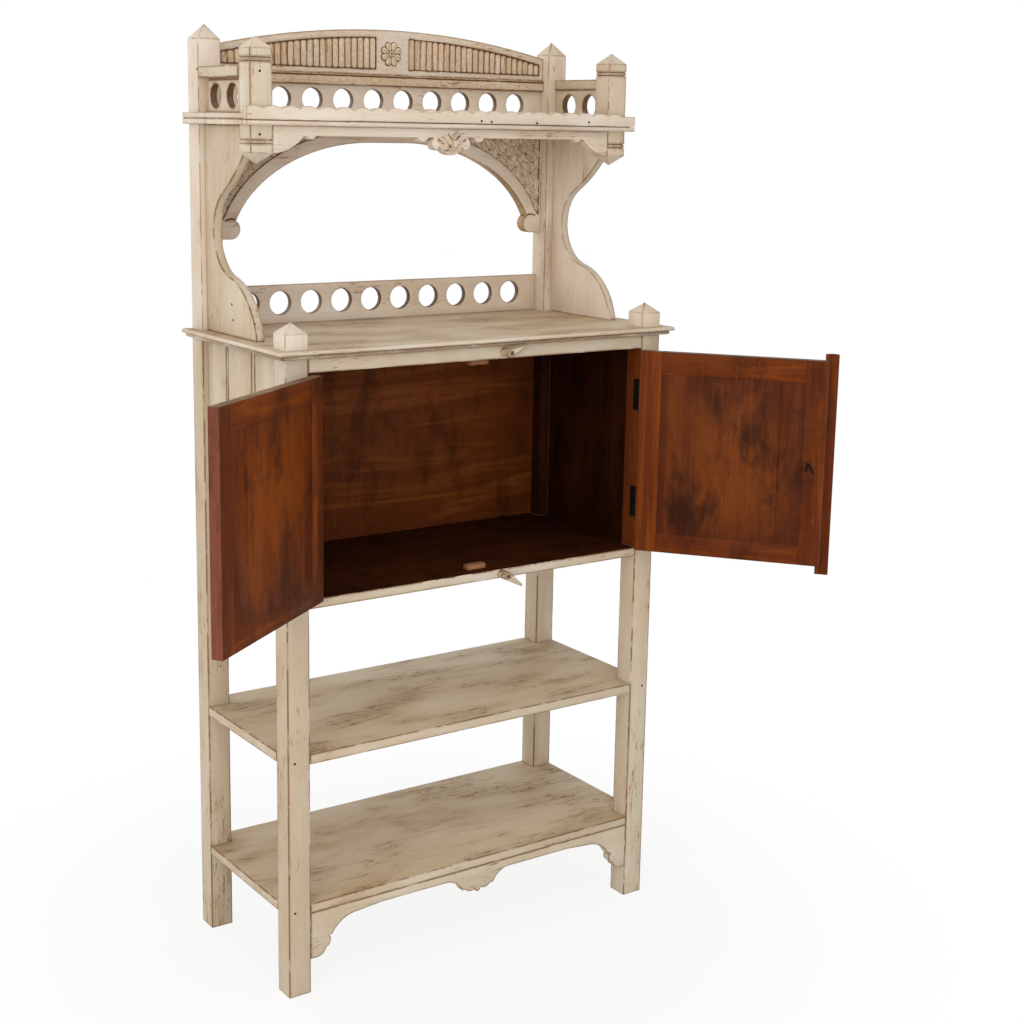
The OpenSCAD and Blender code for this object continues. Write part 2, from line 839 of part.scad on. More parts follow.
module fringe() {
    valley_z = fringe_z + fringe_h;
    last_x = canopy_out - scallop_flat - scallop_pitch / 2;
    count = ceil((2 * canopy_out - scallop_flat) / scallop_pitch);
    color(PALE_CREAM)
    front_board(canopy_front_y - fringe_t, fringe_t) {
        panel_2d([-canopy_out, fringe_z], [canopy_out, valley_z]);
        intersection() {
            panel_2d([-canopy_out, fringe_z], [canopy_out, valley_z + scallop_h]);
            for (i = [0 : count - 1]) {
                translate([last_x - i * scallop_pitch, valley_z + scallop_h - scallop_r])
                    circle(scallop_r);
            }
        }
    }
}

module fringe_bead() {
    r = fringe_bead_h / 2;
    color(CREAM)
    side_board(-canopy_out, 2 * canopy_out) {
        panel_2d([canopy_front_y - fringe_t + r, canopy_z], [canopy_front_y, canopy_z + fringe_bead_h]);
        translate([canopy_front_y - fringe_t + r, canopy_z + r]) circle(r);
    }
}

// Right half of the valance: a band, an end bracket with a bump, and a lobed drop.
module valance_half_2d() {
    band_z = canopy_z - valance_band_h;
    panel_2d([-PASS, band_z], [drop_in, canopy_z]);
    intersection() {
        translate([drop_in, canopy_z - valance_bracket_h + valance_sweep_r])
            circle(valance_sweep_r);
        panel_2d([drop_in - valance_sweep_r, canopy_z - valance_bracket_h], [drop_in, band_z]);
    }
    intersection() {
        panel_2d([-PASS, band_z - valance_drop_r], [drop_in, canopy_z]);
        union() {
            translate([drop_in - valance_bump_in, band_z + valance_bump_r / 2]) circle(valance_bump_r);
            translate([0, band_z]) circle(valance_drop_r);
            translate([valance_drop_r, band_z - lobe_down]) circle(lobe_r);
            translate([2 * valance_drop_r, band_z + lobe_up]) circle(lobe_r);
        }
    }
}

module valance() {
    color(CREAM)
    front_board(canopy_front_y, valance_t)
    for (side = [0, 1]) mirror([side, 0]) valance_half_2d();
}

// Pointed petal along +Y from the origin, between two arcs.
module petal_2d(l, w) {
    r = (l * l + w * w) / (4 * w);
    intersection() {
        translate([r - w / 2, l / 2]) circle(r);
        translate([w / 2 - r, l / 2]) circle(r);
    }
}

// Fan of carved petals on the valance's drop.
module valance_leaf() {
    color(PALE_CREAM)
    front_board(canopy_front_y - leaf_t, leaf_t)
    translate([0, canopy_z - valance_band_h - valance_drop_r + leaf_root + leaf_t]) {
        for (i = [-leaf_side_petals : leaf_side_petals]) {
            rotate(-i * leaf_turn) petal_2d(leaf_l + abs(i) * leaf_l_step, leaf_w);
        }
        circle(leaf_root);
    }
}

// Two grooves round a drop post, the first at z and the next beyond it.
module ring_grooves(z, direction) {
    for (i = [0, 1]) translate([0, 0, z + direction * i * ring_pitch]) difference() {
        cube([drop_post_w + PASS, drop_post_w + PASS, ring_w], center = true);
        cube([drop_post_w - 2 * ring_d, drop_post_w - 2 * ring_d, ring_w + PASS], center = true);
    }
}

module drop_post(side) {
    z0 = canopy_z - pendant_h;
    z1 = canopy_top + drop_post_up;
    color(CREAM)
    translate([side * (drop_out - drop_post_w / 2), canopy_front_y + drop_post_w / 2, 0])
    difference() {
        pointed_post(drop_post_w, z0, z1, drop_post_tip, pendant_tip);
        ring_grooves(z1 - ring_in, -1);
        ring_grooves(z0 + ring_in, 1);
    }
}

module left_drop_post() { drop_post(LEFT); }
module right_drop_post() { drop_post(RIGHT); }

// Galleries and crest

module side_gallery(side) {
    color(CREAM)
    on_side(side)
    side_board(post_out - gallery_recess - gallery_t, gallery_t)
    difference() {
        panel_2d([drop_back_y, canopy_top], [post_ahead_y, canopy_top + gallery_h]);
        translate([(drop_back_y + post_ahead_y) / 2, 0])
            hole_row(2, gallery_pitch, high_hole_d, canopy_top + high_hole_up);
    }
}

module left_side_gallery() { side_gallery(LEFT); }
module right_side_gallery() { side_gallery(RIGHT); }

module gallery_cap(side) {
    z = canopy_top + gallery_h;
    color(CREAM)
    on_side(side)
    block([post_out - gallery_cap_w, drop_back_y, z], [post_out, post_ahead_y, z + gallery_cap_h]);
}

module left_gallery_cap() { gallery_cap(LEFT); }
module right_gallery_cap() { gallery_cap(RIGHT); }

module upper_gallery() {
    color(CREAM)
    front_board(high_rail_back_y - high_rail_t, high_rail_t)
    difference() {
        panel_2d([-post_in, canopy_top], [post_in, strip_z]);
        hole_row(rail_holes(high_hole_d), hole_pitch, high_hole_d, canopy_top + high_hole_up);
    }
}

module cap_strip() {
    color(CREAM)
    block([-post_in, high_rail_back_y - strip_d, strip_z], [post_in, high_rail_back_y, crest_z]);
}

module crest() {
    color(CREAM)
    front_board(crest_y, crest_t)
    intersection() {
        panel_2d([-post_in, crest_z], [post_in, crest_z + crest_h]);
        translate([0, crest_z + crest_h - crest_r]) circle(crest_r, $fn = LONGEST_ARC);
    }
}

module rosette() {
    color(PALE_CREAM)
    front_board(crest_y - rosette_t, rosette_t)
    translate([rosette_x, crest_z + rosette_up]) {
        for (i = [0 : petals - 1]) {
            rotate(360 * (i + 0.5) / petals) petal_2d(rosette_r, rosette_r / 2);
        }
        circle(rosette_r / 3);
    }
}

// Doors

// Turns children, drawn for the closed right door, to the open door of one side.
module in_door(side) {
    on_side(side)
    translate([pin_x, pin_y, 0])
    rotate([0, 0, side == LEFT ? left_open : right_open])
    translate([-pin_x, -pin_y, 0])
    children();
}

module hinge_stile(side) {
    color(BROWN)
    in_door(side)
    block([door_out - hinge_stile_w, door_face_y, door_z], [door_out, door_inner_y, door_top]);
}

module lock_stile(side) {
    color(BROWN)
    in_door(side)
    block([door_in, door_face_y, door_z], [door_in + lock_stile_w, door_inner_y, door_top]);
}

// Rail of a door between its stiles, from z0 to z1.
module door_rail(side, z0, z1) {
    color(BROWN)
    in_door(side)
    block([door_in + lock_stile_w, door_face_y, z0], [door_out - hinge_stile_w, door_inner_y, z1]);
}

module door_panel(side) {
    color(BROWN)
    in_door(side)
    block([door_in + lock_stile_w, door_inner_y - door_panel_t, door_z + door_bottom_rail_h],
        [door_out - hinge_stile_w, door_inner_y, door_top - door_top_rail_h]);
}

module left_hinge_stile() { hinge_stile(LEFT); }
module left_lock_stile() { lock_stile(LEFT); }
module left_door_top_rail() { door_rail(LEFT, door_top - door_top_rail_h, door_top); }
module left_door_bottom_rail() { door_rail(LEFT, door_z, door_z + door_bottom_rail_h); }
module left_door_panel() { door_panel(LEFT); }
module right_hinge_stile() { hinge_stile(RIGHT); }
module right_lock_stile() { lock_stile(RIGHT); }
module right_door_top_rail() { door_rail(RIGHT, door_top - door_top_rail_h, door_top); }
module right_door_bottom_rail() { door_rail(RIGHT, door_z, door_z + door_bottom_rail_h); }
module right_door_panel() { door_panel(RIGHT); }

// Cover strip of D section on the right door's outer face, over the meeting gap.
module astragal() {
    r = (astragal_w * astragal_w / 4 + astragal_t * astragal_t) / (2 * astragal_t);
    middle_x = door_in + astragal_seat - astragal_w / 2;
    z0 = door_z - astragal_down;
    color(DARK_BROWN)
    in_door(RIGHT)
    translate([0, 0, z0])
    linear_extrude(door_top + astragal_up - z0)
    difference() {
        intersection() {
            translate([middle_x, door_face_y - astragal_t + r]) circle(r);
            panel_2d([middle_x - r, door_face_y - astragal_t], [middle_x + r, door_face_y]);
        }
        panel_2d([middle_x - r - PASS, door_face_y - astragal_relief], [door_in, door_face_y + PASS]);
    }
}

// Round knob on the right door's outer face.
module door_knob() {
    color(BLACK_IRON)
    in_door(RIGHT)
    translate([door_in + knob_in, door_face_y, door_z + knob_up])
    rotate([90, 0, 0]) {
        cylinder(r = knob_plate_r, h = knob_plate_t);
        cylinder(r = knob_neck_r, h = knob_out);
        translate([0, 0, knob_out]) sphere(knob_r);
    }
}

// Hinges

// Leaf plate on the +X side of the pin, for a hinge centred on the origin.
module leaf_plate() {
    x0 = leaf_plate_gap / 2;
    block([x0, 0, -hinge_h / 2], [x0 + leaf_plate_t, leaf_plate_w + barrel_r, hinge_h / 2]);
}

// Two outer knuckles and their leaf, cut clear of the middle knuckle.
module post_leaf() {
    difference() {
        union() {
            leaf_plate();
            cylinder(r = barrel_r, h = hinge_h, center = true);
        }
        cylinder(r = barrel_r + knuckle_gap, h = knuckle_h + 2 * knuckle_gap, center = true);
        cylinder(r = pin_r, h = hinge_h + PASS, center = true);
    }
}

// Middle knuckle and its leaf, cut clear of the outer knuckles.
module door_leaf() {
    difference() {
        union() {
            difference() {
                mirror([1, 0, 0]) leaf_plate();
                cylinder(r = barrel_r + knuckle_gap, h = hinge_h + PASS, center = true);
            }
            intersection() {
                mirror([1, 0, 0]) leaf_plate();
                cylinder(r = 2 * barrel_r, h = knuckle_h, center = true);
            }
            cylinder(r = barrel_r, h = knuckle_h, center = true);
        }
        cylinder(r = pin_r + pin_clear, h = hinge_h + PASS, center = true);
    }
}

// Places children at both hinges of the right door.
module at_hinges() {
    for (z = hinge_levels) translate([pin_x, pin_y, z]) children();
}

module post_leaves(side) {
    color(BLACK_IRON)
    on_side(side) at_hinges() post_leaf();
}

module door_leaves(side) {
    color(BLACK_IRON)
    in_door(side) at_hinges() door_leaf();
}

module hinge_pins(side) {
    color(BLACK_IRON)
    on_side(side) at_hinges() cylinder(r = pin_r, h = hinge_h, center = true);
}

module left_post_leaves() { post_leaves(LEFT); }
module left_door_leaves() { door_leaves(LEFT); }
module left_hinge_pins() { hinge_pins(LEFT); }
module right_post_leaves() { post_leaves(RIGHT); }
module right_door_leaves() { door_leaves(RIGHT); }
module right_hinge_pins() { hinge_pins(RIGHT); }

// Stops and turn buttons

module top_stop() {
    color(LIGHT_BROWN)
    block([-stop_w / 2, front_y + rail_t, rail_z - top_stop_down],
        [stop_w / 2, front_y + rail_t + stop_d, rail_z + rail_h / 2]);
}

module bottom_stop() {
    color(LIGHT_BROWN)
    block([-stop_w / 2, door_inner_y + stop_clear, floor_top],
        [stop_w / 2, door_inner_y + stop_clear + stop_d, floor_top + bottom_stop_h]);
}

// Spacer and screw of a turn button, at x and z on the front.
module pivot(x, z) {
    shank_l = spacer_t + button_t + 2 * button_gap;
    color(CREAM)
    translate([x, front_y, z])
    rotate([90, 0, 0]) {
        cylinder(r = button_r, h = spacer_t);
        cylinder(r = screw_r, h = shank_l);
        translate([0, 0, shank_l]) cylinder(r = screw_head_r, h = screw_head_t);
    }
}

// Points of an arc round c, from angle a0 to a1.
function arc(c, r, a0, a1) =
    [for (i = [0 : ARC_STEPS]) let (a = a0 + (a1 - a0) * i / ARC_STEPS) c + r * [cos(a), sin(a)]];

// Outline of a turn button: two arcs joined by their tangents, with the pivot's hole.
module button_2d() {
    turn = acos((button_r - button_tip_r) / button_l);
    difference() {
        polygon(concat(
            arc([0, 0], button_r, turn, 360 - turn),
            arc([button_l, 0], button_tip_r, -turn, turn)));
        circle(screw_r + pin_clear);
    }
}

module turn_button(x, z, angle) {
    color(PALE_CREAM)
    translate([x, front_y - spacer_t - button_gap, z])
    rotate([90, 0, 0])
    rotate(angle)
    linear_extrude(button_t)
    button_2d();
}

module top_pivot() { pivot(top_button_x, top_button_z); }
module bottom_pivot() { pivot(bottom_button_x, bottom_button_z); }
module top_button() { turn_button(top_button_x, top_button_z, top_button_rest); }
module bottom_button() { turn_button(bottom_button_x, bottom_button_z, bottom_button_rest); }

// Drawing

front_left_post();
front_right_post();
rear_left_post();
rear_right_post();
bottom_shelf();
front_apron();
middle_shelf();
cabinet_floor();
front_top_rail();
cabinet_back();
left_side_boards();
right_side_boards();
tabletop();
front_table_moulding();
left_table_moulding();
right_table_moulding();
left_side_panel();
right_side_panel();
lower_gallery();
rear_arch();
canopy();
fringe();
fringe_bead();
valance();
valance_leaf();
left_drop_post();
right_drop_post();
left_side_gallery();
right_side_gallery();
left_gallery_cap();
right_gallery_cap();
upper_gallery();
cap_strip();
crest();
rosette();
left_hinge_stile();
left_lock_stile();
left_door_top_rail();
left_door_bottom_rail();
left_door_panel();
right_hinge_stile();
right_lock_stile();
right_door_top_rail();
right_door_bottom_rail();
right_door_panel();
astragal();
door_knob();
left_post_leaves();
left_door_leaves();
left_hinge_pins();
right_post_leaves();
right_door_leaves();
right_hinge_pins();
top_stop();
bottom_stop();
top_pivot();
top_button();
bottom_pivot();
bottom_button();
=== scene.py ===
"""Looks of a tall painted sideboard: an open stand, a cabinet with stained doors, and a galleried hutch."""

import json
import logging
import math
import random
from contextlib import contextmanager
from dataclasses import dataclass, field
from enum import Enum
from typing import Callable, Iterator

import bpy
from mathutils import Matrix, Vector

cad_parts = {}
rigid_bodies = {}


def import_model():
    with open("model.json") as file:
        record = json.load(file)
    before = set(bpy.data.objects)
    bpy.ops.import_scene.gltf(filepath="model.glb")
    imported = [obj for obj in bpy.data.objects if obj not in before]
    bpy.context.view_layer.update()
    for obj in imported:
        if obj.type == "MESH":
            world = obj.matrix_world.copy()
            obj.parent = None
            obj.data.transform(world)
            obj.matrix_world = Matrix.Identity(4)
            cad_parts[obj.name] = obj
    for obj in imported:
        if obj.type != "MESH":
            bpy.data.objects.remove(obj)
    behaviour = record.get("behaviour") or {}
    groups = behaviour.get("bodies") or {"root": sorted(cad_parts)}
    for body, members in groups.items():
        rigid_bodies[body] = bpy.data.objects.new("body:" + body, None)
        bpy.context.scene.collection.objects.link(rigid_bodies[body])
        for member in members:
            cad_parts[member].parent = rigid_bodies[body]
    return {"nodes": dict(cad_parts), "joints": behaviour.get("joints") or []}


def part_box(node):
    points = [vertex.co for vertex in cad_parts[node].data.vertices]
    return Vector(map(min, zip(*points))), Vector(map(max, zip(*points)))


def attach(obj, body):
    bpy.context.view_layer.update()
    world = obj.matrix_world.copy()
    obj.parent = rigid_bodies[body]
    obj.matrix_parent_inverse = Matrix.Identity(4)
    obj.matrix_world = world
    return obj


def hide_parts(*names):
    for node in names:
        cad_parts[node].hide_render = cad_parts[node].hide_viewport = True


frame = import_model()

log = logging.getLogger("sideboard")

MM = 0.001
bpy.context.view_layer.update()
IDENTITY = Matrix.Identity(4)
MIRROR = Matrix.Diagonal((-1, 1, 1, 1))
MERGE_REACH = 1e-5
FINE_MERGE_REACH = 1e-6
FLAT_ANGLE = math.radians(0.2)
SHARP_ANGLE = math.radians(32)
BOARD_SMOOTH_ANGLE = math.radians(40)
CARVING_SMOOTH_ANGLE = math.radians(50)
MIX_FACTOR, MIX_FIRST, MIX_SECOND, MIX_COLOUR = 0, 6, 7, 2

Colour = tuple[float, float, float]
Point = tuple[float, float, float]
Socket = bpy.types.NodeSocket
Piece = bpy.types.Object
Material = bpy.types.Material
FaceTest = Callable[[Vector, Vector], bool]


class Axis(Enum):
    """Way that a board's grain runs."""

    WIDE = 0
    DEEP = 1
    UP = 2


class Side(Enum):
    """Side of the sideboard, as the sign of X."""

    LEFT = -1
    RIGHT = 1

    def word(self) -> str:
        """Gives the side as a word in the names of nodes."""
        return self.name.lower()

    def span(self, near: float, far: float) -> list[float]:
        """Gives two distances from the middle as places on this side, in rising order."""
        return sorted((self.value * near, self.value * far))


# Handling of pieces


def release() -> None:
    """Leaves edit mode and deselects everything."""
    if bpy.context.object and bpy.context.object.mode != "OBJECT":
        bpy.ops.object.mode_set(mode="OBJECT")
    bpy.ops.object.select_all(action="DESELECT")


def hold(piece: Piece) -> None:
    """Selects one piece alone and makes it active.

    Args:
        piece: The piece to hold.
    """
    release()
    piece.select_set(True)
    bpy.context.view_layer.objects.active = piece


def named(name: str) -> Piece:
    """Names the active object and its mesh, and seats it at the origin.

    Args:
        name: New name of the piece.

    Returns:
        The active object.
    """
    piece = bpy.context.view_layer.objects.active
    piece.name = name
    piece.data.name = name
    bpy.ops.object.transform_apply(location=True, rotation=True, scale=True)
    return piece


@contextmanager
def editing(piece: Piece) -> Iterator[None]:
    """Holds a piece in edit mode, with all of it selected, and then leaves edit mode.

    Args:
        piece: The piece to edit.

    Returns:
        The context, which gives nothing of its own.
    """
    hold(piece)
    bpy.ops.object.mode_set(mode="EDIT")
    bpy.ops.mesh.select_all(action="SELECT")
    yield
    bpy.ops.object.mode_set(mode="OBJECT")


def copy_of(node: str) -> Piece:
    """Copies a CAD node's mesh as a piece of its own, with its doubles merged and flat faces joined.

    Args:
        node: Name of the CAD node.

    Returns:
        The copy, at the origin and without a parent.
    """
    hold(frame["nodes"][node])
    bpy.ops.object.duplicate()
    bpy.ops.object.parent_clear(type="CLEAR_KEEP_TRANSFORM")
    piece = named(node + "_dressed")
    with editing(piece):
        bpy.ops.mesh.remove_doubles(threshold=MERGE_REACH)
        bpy.ops.mesh.dissolve_limited(angle_limit=FLAT_ANGLE)
    return piece


def copy_piece(piece: Piece, name: str, place: Matrix) -> Piece:
    """Copies a piece with a mesh of its own and puts the copy where it belongs.

    Args:
        piece: The piece to copy.
        name: Name of the copy.
        place: Transform from the piece to its copy.

    Returns:
        The copy.
    """
    hold(piece)
    bpy.ops.object.duplicate()
    copy = bpy.context.view_layer.objects.active
    copy.matrix_world = place @ copy.matrix_world
    named(name)
    if place.determinant() < 0:
        face_outwards(copy)
    return copy


def face_outwards(piece: Piece) -> None:
    """Recalculates a closed piece's normals so that they point outwards."""
    with editing(piece):
        bpy.ops.mesh.normals_make_consistent(inside=False)


def drop(piece: Piece) -> None:
    """Deletes a helper piece."""
    bpy.data.objects.remove(piece, do_unlink=True)


def split(piece: Piece, at: Point, normal: Point) -> None:
    """Cuts a line into a piece's faces where the plane through a point, with a normal, meets them."""
    with editing(piece):
        bpy.ops.mesh.bisect(plane_co=at, plane_no=normal, use_fill=False)


def apply_all(piece: Piece) -> None:
    """Applies every modifier of a piece.

    Args:
        piece: The piece to finish.
    """
    hold(piece)
    for modifier in list(piece.modifiers):
        bpy.ops.object.modifier_apply(modifier=modifier.name)


def soften(piece: Piece, width: float, segments: int = 2) -> None:
    """Rounds a piece's sharp edges, marks the rounding in the attribute "arris", and smooths its curves.

    Args:
        piece: The piece to round.
        width: Width of the rounding in metres.
        segments: Segments over the rounding.
    """
    while len(piece.data.materials) < 2:
        piece.data.materials.append(None)
    bevel = piece.modifiers.new("arris", "BEVEL")
    bevel.width = width
    bevel.segments = segments
    bevel.limit_method = "ANGLE"
    bevel.angle_limit = SHARP_ANGLE
    bevel.use_clamp_overlap = False
    bevel.material = 1
    apply_all(piece)
    bpy.ops.object.shade_smooth_by_angle(angle=BOARD_SMOOTH_ANGLE)
    marks = [float(face.material_index) for face in piece.data.polygons]
    piece.data.attributes.new("arris", "FLOAT", "FACE").data.foreach_set("value", marks)
    for face in piece.data.polygons:
        face.material_index = 0


def carve(piece: Piece, cutter: Piece) -> None:
    """Cuts one piece out of another and deletes it.

    Args:
        piece: The piece that is cut.
        cutter: The closed shape that is taken away.
    """
    cut = piece.modifiers.new("cut", "BOOLEAN")
    cut.operation = "DIFFERENCE"
    cut.solver = "EXACT"
    cut.object = cutter
    apply_all(piece)
    drop(cutter)


def join(piece: Piece, *others: Piece) -> Piece:
    """Joins pieces into the first.

    Args:
        piece: The piece that stays.
        others: The pieces that become part of it.

    Returns:
        The first piece.
    """
    hold(piece)
    for other in others:
        other.select_set(True)
    bpy.ops.object.join()
    return piece


def reshape(piece: Piece, move: Callable[[Vector], Point]) -> None:
    """Moves each vertex of a piece to the place that a rule gives.

    Args:
        piece: The piece to reshape.
        move: Rule from a vertex's place to its new place.
    """
    for vertex in piece.data.vertices:
        vertex.co = move(vertex.co.copy())
    piece.data.update()


def box_piece(name: str, low: Point, high: Point) -> Piece:
    """Adds a box between two corners, as the start of a piece.

    Args:
        name: Name of the piece.
        low: Lowest corner in metres.
        high: Highest corner in metres.

    Returns:
        The box.
    """
    release()
    centre = [(a + b) / 2 for a, b in zip(low, high)]
    bpy.ops.mesh.primitive_cube_add(size=1, location=centre, scale=[b - a for a, b in zip(low, high)])
    return named(name)


def turned(name: str, outline: tuple[tuple[float, float], ...], steps: int) -> Piece:
    """Turns a shape about Z: a point is extruded along an outline, and the line is spun.

    Args:
        name: Name of the shape.
        outline: Radius and height of each point in millimetres, from the axis below to the axis above.
        steps: Segments round the shape.

    Returns:
        The closed shape.
    """
    release()
    bpy.ops.mesh.primitive_plane_add(size=MM)
    piece = named(name)
    bpy.context.tool_settings.mesh_select_mode = (True, False, False)
    with editing(piece):
        bpy.ops.mesh.merge(type="CENTER")
        for (r0, z0), (r1, z1) in zip(outline, outline[1:]):
            step = ((r1 - r0) * MM, 0, (z1 - z0) * MM)
            bpy.ops.mesh.extrude_vertices_move(TRANSFORM_OT_translate={"value": step})
        bpy.ops.mesh.select_all(action="SELECT")
        bpy.ops.mesh.spin(steps=steps, angle=math.tau, center=(0, 0, 0), axis=(0, 0, 1))
        bpy.ops.mesh.select_all(action="SELECT")
        bpy.ops.mesh.remove_doubles(threshold=FINE_MERGE_REACH)
        bpy.ops.mesh.normals_make_consistent(inside=False)
    bpy.ops.object.shade_smooth_by_angle(angle=CARVING_SMOOTH_ANGLE)
    return piece


def facing_front(x: float, y: float, z: float) -> Matrix:
    """Gives the place of a shape turned about Z that stands out from the front towards the viewer."""
    return Matrix.Translation((x, y, z)) @ Matrix.Rotation(math.pi / 2, 4, "X")


def lay_grain(
    piece: Piece,
    along: Axis,
    seed: int,
    unturn: Matrix = IDENTITY,
    extent: tuple[Point, Point] | None = None,
) -> None:
    """Writes the coordinates that the finishes follow.

    The attribute "grain" runs along the board in metres, "place" is the point itself, and "spot" is its
    place in the extent from -1 to 1.

    Args:
        piece: The piece to mark.
        along: Way that its grain runs.
        seed: Number that tells this board's figure from its neighbours'.
        unturn: Transform that turns the piece square to the sideboard.
        extent: Corners of what the spot is measured over, or nothing for the piece itself.
    """
    rng = random.Random(seed)
    shift = [rng.uniform(0, 20) for _ in range(3)]
    order = {Axis.WIDE: (0, 2, 1), Axis.DEEP: (1, 0, 2), Axis.UP: (2, 0, 1)}[along]
    places = [unturn @ vertex.co for vertex in piece.data.vertices]
    low, high = extent or tuple([pick(p[i] for p in places) for i in range(3)] for pick in (min, max))
    marks: dict[str, list[float]] = {"grain": [], "place": [], "spot": []}
    for p in places:
        marks["grain"].extend(p[axis] + shift[i] for i, axis in enumerate(order))
        marks["place"].extend(p)
        marks["spot"].extend(2 * (p[i] - low[i]) / max(high[i] - low[i], MM) - 1 for i in range(3))
    for name, values in marks.items():
        piece.data.attributes.new(name, "FLOAT_VECTOR", "POINT").data.foreach_set("vector", values)


def coat(piece: Piece, finish: Material, *patches: tuple[Material, FaceTest]) -> None:
    """Gives a piece its finish, and other finishes where a test on a face's normal and centre holds.

    Args:
        piece: The piece to finish.
        finish: Finish of the whole piece.
        patches: Other finishes, each with the test for its faces.
    """
    slots = piece.data.materials
    slots.clear()
    slots.append(finish)
    for number, (material, test) in enumerate(patches, start=1):
        slots.append(material)
        for face in piece.data.polygons:
            if test(face.normal, face.center):
                face.material_index = number


def stand_for(piece: Piece, node: str) -> None:
    """Lets a piece take a CAD node's place and body.

    Args:
        piece: The finished piece.
        node: Name of the CAD node that it stands for.
    """
    original = frame["nodes"][node]
    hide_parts(node)
    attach(piece, original.parent.name.split(":")[-1])


# Finishes


class Bench:
    """Lays out the nodes of one material or world."""

    def __init__(self, name: str, group: bpy.types.bpy_prop_collection | None = None) -> None:
        """Starts an empty material, or a world.

        Args:
            name: Name of the material or world.
            group: Where it is kept, or nothing for the materials.
        """
        self.material = (bpy.data.materials if group is None else group).new(name)
        self.material.use_nodes = True
        self.tree = self.material.node_tree
        self.tree.nodes.clear()

    def node(self, kind: str, **settings: object) -> bpy.types.Node:
        """Adds a node and gives it its settings.

        Args:
            kind: Type name of the node.
            settings: Properties of the node.

        Returns:
            The node.
        """
        node = self.tree.nodes.new(kind)
        for key, value in settings.items():
            setattr(node, key, value)
        return node

    def feed(self, socket: Socket, value: object) -> None:
        """Links a socket or sets its value.

        Args:
            socket: The socket of a node.
            value: Another socket, a number, or a tuple for a colour or vector.
        """
        if isinstance(value, Socket):
            self.tree.links.new(value, socket)
        else:
            colour = isinstance(value, tuple) and socket.type == "RGBA"
            socket.default_value = (*value, 1.0) if colour else value

    def attribute(self, name: str, output: str = "Vector") -> Socket:
        """Reads an attribute of a piece by name."""
        return self.node("ShaderNodeAttribute", attribute_name=name).outputs[output]

    def stretch(self, coords: Socket, scale: Point) -> Socket:
        """Scales coordinates by axis.

        Args:
            coords: The coordinates.
            scale: Scale on each axis.

        Returns:
            The scaled coordinates.
        """
        mapping = self.node("ShaderNodeMapping")
        self.feed(mapping.inputs["Vector"], coords)
        mapping.inputs["Scale"].default_value = scale
        return mapping.outputs["Vector"]

    def noise(
        self, coords: Socket, scale: Point, detail: float, rough: float = 0.55, bend: float = 0.0
    ) -> Socket:
        """Adds a noise pattern.

        Args:
            coords: Coordinates in metres.
            scale: Cells per metre on each axis.
            detail: Octaves of the noise.
            rough: Strength of the finer octaves.
            bend: Distortion of the pattern.

        Returns:
            The noise, about 0 to 1.
        """
        noise = self.node("ShaderNodeTexNoise")
        self.feed(noise.inputs["Vector"], self.stretch(coords, scale))
        self.feed(noise.inputs["Scale"], 1.0)
        self.feed(noise.inputs["Detail"], detail)
        self.feed(noise.inputs["Roughness"], rough)
        self.feed(noise.inputs["Distortion"], bend)
        return noise.outputs["Fac"]

    def window(
        self, value: Socket, low: float, high: float, to_low: float = 0.0, to_high: float = 1.0
    ) -> Socket:
        """Maps a range of values to another, smoothly and clamped.

        Args:
            value: The value to map.
            low: Value that becomes to_low.
            high: Value that becomes to_high.
            to_low: Result at and below low.
            to_high: Result at and above high.

        Returns:
            The mapped value.
        """
        step = self.node("ShaderNodeMapRange", interpolation_type="SMOOTHSTEP", clamp=True)
        names = ("Value", "From Min", "From Max", "To Min", "To Max")
        for name, number in zip(names, (value, low, high, to_low, to_high)):
            self.feed(step.inputs[name], number)
        return step.outputs["Result"]

    def maths(self, operation: str, a: object, b: object) -> Socket:
        """Works out a value from two others.

        Args:
            operation: Name of the operation.
            a: First value.
            b: Second value.

        Returns:
            The result.
        """
        node = self.node("ShaderNodeMath", operation=operation)
        self.feed(node.inputs[0], a)
        self.feed(node.inputs[1], b)
        return node.outputs[0]

    def times(self, a: object, b: object) -> Socket:
        """Multiplies two values."""
        return self.maths("MULTIPLY", a, b)

    def plus(self, a: object, b: object) -> Socket:
        """Adds two values."""
        return self.maths("ADD", a, b)

    def less(self, a: object, b: object) -> Socket:
        """Takes the second value from the first."""
        return self.maths("SUBTRACT", a, b)

    def most(self, a: object, b: object) -> Socket:
        """Gives the greater of two values."""
        return self.maths("MAXIMUM", a, b)

    def vectors(self, operation: str, *values: object) -> bpy.types.bpy_prop_collection:
        """Works out a vector or its length from others.

        Args:
            operation: Name of the operation.
            values: What it works on, in order.

        Returns:
            The outputs, Vector and Value.
        """
        node = self.node("ShaderNodeVectorMath", operation=operation)
        for number, value in enumerate(values):
            self.feed(node.inputs[number], value)
        return node.outputs

    def mix(self, factor: object, a: object, b: object) -> Socket:
        """Mixes two colours.

        Args:
            factor: Share of the second colour.
            a: First colour.
            b: Second colour.

        Returns:
            The mixed colour.
        """
        node = self.node("ShaderNodeMix", data_type="RGBA")
        self.feed(node.inputs[MIX_FACTOR], factor)
        self.feed(node.inputs[MIX_FIRST], a)
        self.feed(node.inputs[MIX_SECOND], b)
        return node.outputs[MIX_COLOUR]

    def arris(self, radius: float) -> Socket:
        """Finds edges and corners.

        Args:
            radius: Reach of the search in metres.

        Returns:
            0 on flat ground, rising towards 1 at an edge.
        """
        round_off = self.node("ShaderNodeBevel", samples=6)
        self.feed(round_off.inputs["Radius"], radius)
        normal = self.node("ShaderNodeNewGeometry").outputs["Normal"]
        return self.less(1.0, self.vectors("DOT_PRODUCT", round_off.outputs[0], normal)["Value"])

